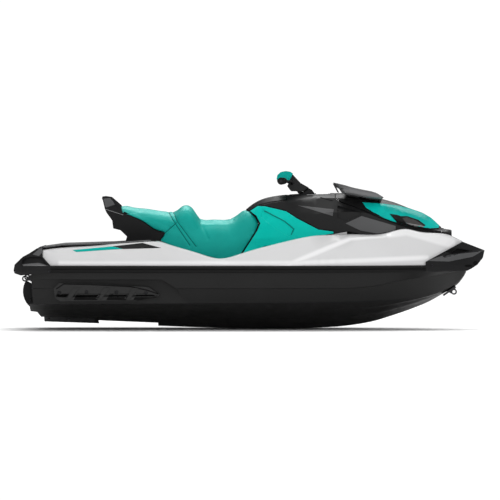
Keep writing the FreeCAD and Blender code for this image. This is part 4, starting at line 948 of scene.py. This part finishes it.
def make_edges(materials):
    """Beads along edges and creases, the black ones painting shadow lines at joints and the light
    grey ones painting highlights on edges, and films of painted shade in the pockets of the
    sponsons.
    """
    cowl = surface_of(["console", "front_cowl", "knee_panels"])
    hood = surface_of(["hood_shell", "hood_panels", "hood_vents"])
    base = surface_of(["seat_base"])
    sponson = surface_of(["sponsons"])
    rubber = materials["rubber_and_shadow_lines"]
    grey = materials["painted_highlight_rim"]
    crease = materials["teal_shadow"]
    for name, line, radius, tree, material, body, slot in (
            # Black beads here are raised beads whose black paints the shadow lines of joints and
            # creases.
            ("knee_shadow_line", KNEE_EDGE, 0.0028, cowl, rubber, "craft", "rail_rubber"),
            ("knee_crease", KNEE_CREASE, 0.0040, cowl, crease, "craft", "panel_teal"),
            ("panel_shadow_line", PANEL_EDGE, 0.0020, hood, rubber, "hood", "rail_rubber"),
            ("console_line", CONSOLE_LINE, 0.0022, cowl, rubber, "craft", "rail_rubber"),
            # Light grey beads here paint highlights on the console's rim and the seat base's edge.
            ("console_rim_highlight", CONSOLE_RIM, 0.0028, cowl, grey, "craft", "console_grey"),
            ("base_edge_highlight", BASE_EDGE, 0.0022, base, grey, "craft", "trim_black")):
        bead(name, line, radius, tree, material, body)
    # Near-black films paint the shade in the pockets of the sponsons.
    for number, outline in enumerate(SPONSON_POCKETS):
        side_film(f"sponson_pocket_shade_{number}", outline, sponson, materials["painted_recess_shade"],
                  "craft")
    # Black beads paint the shadow lines along the top and foot of each sponson.
    bead("sponson_top_shadow_line", SPONSON_TOP, 0.0036, sponson, rubber, "craft")
    bead("sponson_foot_shadow_line", SPONSON_FOOT, 0.0026, sponson, rubber, "craft")


def make_seals(rubber):
    """Rubber lips set back in the gaps between panels."""
    around_hood = surface_of(["console", "front_cowl", "hood_shell"])
    around_lid = surface_of(["console", "knee_panels", "glove_lid"])
    around_seat = surface_of(["console", "knee_panels", "seat", "glove_lid"])
    for name, line, thickness, tree in (
            ("hood_rear_seal", HOOD_REAR_GAP, 0.0044, around_hood),
            ("hood_seal", HOOD_GAP, 0.0058, around_hood),
            ("hood_nose_seal", HOOD_NOSE_GAP, 0.0042, around_hood),
            ("glove_seal", GLOVE_GAP, 0.0044, around_lid),
            ("glove_end_seal", GLOVE_END_GAP, 0.0044, around_lid),
            ("seat_seal", SEAT_GAP, 0.018, around_seat),
            ("foot_seal", FOOT_GAP, 0.022, surface_of(["front_cowl", "console"])),
            ("base_seal", BASE_GAP, 0.014, surface_of(["seat", "seat_base"]))):
        seal(name, line, thickness, tree, rubber)


def make_gaiter(rubber):
    """Ribbed rubber ring round the foot of the steering neck."""
    bm = bmesh.new()
    axis = Vector((-math.cos(STEER_RAKE), 0, math.sin(STEER_RAKE)))
    foot = spot(*STEER_BASE) + axis * GAITER_FOOT
    lathe(bm, GAITER_PROFILE, foot, axis, segments=48, ring_shaped=True)
    finish_mesh("steering_gaiter", bm, rubber, "craft")


def make_screws(steel):
    bolts("sponson_bolts", sideways(SPONSON_BOLTS), 0.011, ["sponsons"], steel)
    bolts("cap_bolts", sideways(CAP_BOLTS), 0.009, ["stern_cap", "bow_cap", "rubrail"], steel)
    bolts("gate_bolts", sideways(GATE_BOLTS), 0.010, ["reverse_gate"], steel, "gate")
    bolts("plate_bolts", upwards(PLATE_BOLTS), 0.007, ["ride_plate"], steel)


def make_grip_ribs(rubber):
    bm = bmesh.new()
    for side in (-1, 1):
        inner = spot(GRIP_INNER[0], GRIP_HEIGHT, GRIP_INNER[1] * side)
        outer = spot(GRIP_OUTER[0], GRIP_HEIGHT, GRIP_OUTER[1] * side)
        along = (outer - inner).normalized()
        for i in range(GRIP_RIBS):
            place = inner.lerp(outer, RIBS_START + RIBS_SPAN * i / (GRIP_RIBS - 1))
            lathe(bm, RIB_PROFILE, place, along, segments=32, ring_shaped=True)
    finish_mesh("grip_ribs", bm, rubber, "steering")


def make_fuel_cap_rim(black):
    bm = bmesh.new()
    axis = Vector(FUEL_CAP_AXIS).normalized()
    lathe(bm, FUEL_RIM_PROFILE, spot(*FUEL_CAP_TOP), axis, segments=48)
    finish_mesh("fuel_cap_rim", bm, black, "craft")


def make_details(materials):
    make_films(materials)
    make_edges(materials)
    make_seals(materials["rubber_and_shadow_lines"])
    make_gaiter(materials["rubber_and_shadow_lines"])
    make_screws(materials["bar_steel"])
    make_grip_ribs(materials["grip_rubber"])
    make_fuel_cap_rim(materials["trim_black"])


# Stage and camera

FLOOR_SIZE = 16.0
FLOOR_DROP = 0.001
FLOOR_TONES = (0.93, 0.95)
SKY_TO_CAMERA = 1.05
SKY_HIGH = 1.0
SKY_LOW = 0.10

# Name, place, energy and breadth in degrees
LIGHTS = [("top", (0.4, 3.0, 5.0), 2.4, 50), ("side", (0.6, -5.0, 1.9), 1.2, 80)]


def make_camera():
    centre_pixel = IMAGE_PIXELS / 2
    target = spot((centre_pixel - STERN_PIXEL) * METRES_PER_PIXEL,
                  (KEEL_PIXEL - centre_pixel) * METRES_PER_PIXEL)
    data = bpy.data.cameras.new("camera")
    data.sensor_width = SENSOR
    data.lens = SENSOR * CAMERA_DISTANCE / (IMAGE_PIXELS * METRES_PER_PIXEL)
    data.clip_end = CAMERA_CLIP_END
    camera = bpy.data.objects.new("camera", data)
    back = Vector((0, -math.cos(CAMERA_ELEVATION), math.sin(CAMERA_ELEVATION)))
    camera.location = target + back * CAMERA_DISTANCE
    camera.rotation_mode = "QUATERNION"
    camera.rotation_quaternion = (-back).to_track_quat("-Z", "Y")
    bpy.context.scene.collection.objects.link(camera)
    bpy.context.scene.camera = camera


def make_floor():
    place = (0, 0, -WATERLINE - FLOOR_DROP)
    bpy.ops.mesh.primitive_plane_add(size=FLOOR_SIZE, location=place)
    floor = bpy.context.object
    floor.name = "floor"
    n = new_material("floor")
    darker, lighter = (tone((1, 1, 1), share) for share in FLOOR_TONES)
    n.link(n.blend(n.spread(n.noise(0.6), 0.0, 1.0), darker, lighter), "Base Color")
    n.fix({"Roughness": 1.0, "Specular IOR Level": 0.0})
    floor.data.materials.append(n.owner)


def make_sky():
    """White backdrop, which lights the craft more from above than from the sides."""
    world = bpy.data.worlds.new("studio")
    n = Nodes(world, "Background", "Generated")
    upward = n.add("ShaderNodeClamp", {"Value": n.part_of(n.coords, "Z")}).outputs[0]
    rise = n.spread(n.maths("MULTIPLY", upward, upward), SKY_LOW, SKY_HIGH, 0.0, 1.0)
    seen = n.add("ShaderNodeLightPath").outputs["Is Camera Ray"]
    strength = n.add("ShaderNodeMix", {"Factor": seen, 2: rise, 3: SKY_TO_CAMERA})
    n.link(strength.outputs[0], "Strength")
    n.fix({"Color": (1, 1, 1, 1)})
    bpy.context.scene.world = world


def make_lights():
    """Soft lights from far away, which show no edge in glossy panels."""
    for name, location, energy, breadth in LIGHTS:
        data = bpy.data.lights.new(name, "SUN")
        data.energy = energy
        data.angle = math.radians(breadth)
        light = bpy.data.objects.new(name, data)
        light.location = location
        light.rotation_mode = "QUATERNION"
        light.rotation_quaternion = (-Vector(location)).to_track_quat("-Z", "Y")
        bpy.context.scene.collection.objects.link(light)


def main():
    materials = make_materials()
    own = make_finishes(materials)
    slots = {row["node"]: row["material_slot"] for row in frame["record"]["subparts"]}
    for name, piece in nodes.items():
        piece.data.materials.clear()
        piece.data.materials.append(own.get(name, materials[slots[name]]))
        smooth_cad(piece)
    seat_pad(materials)
    make_details(materials)
    make_camera()
    make_floor()
    make_sky()
    make_lights()
    bpy.context.scene.view_settings.view_transform = "Standard"


main()
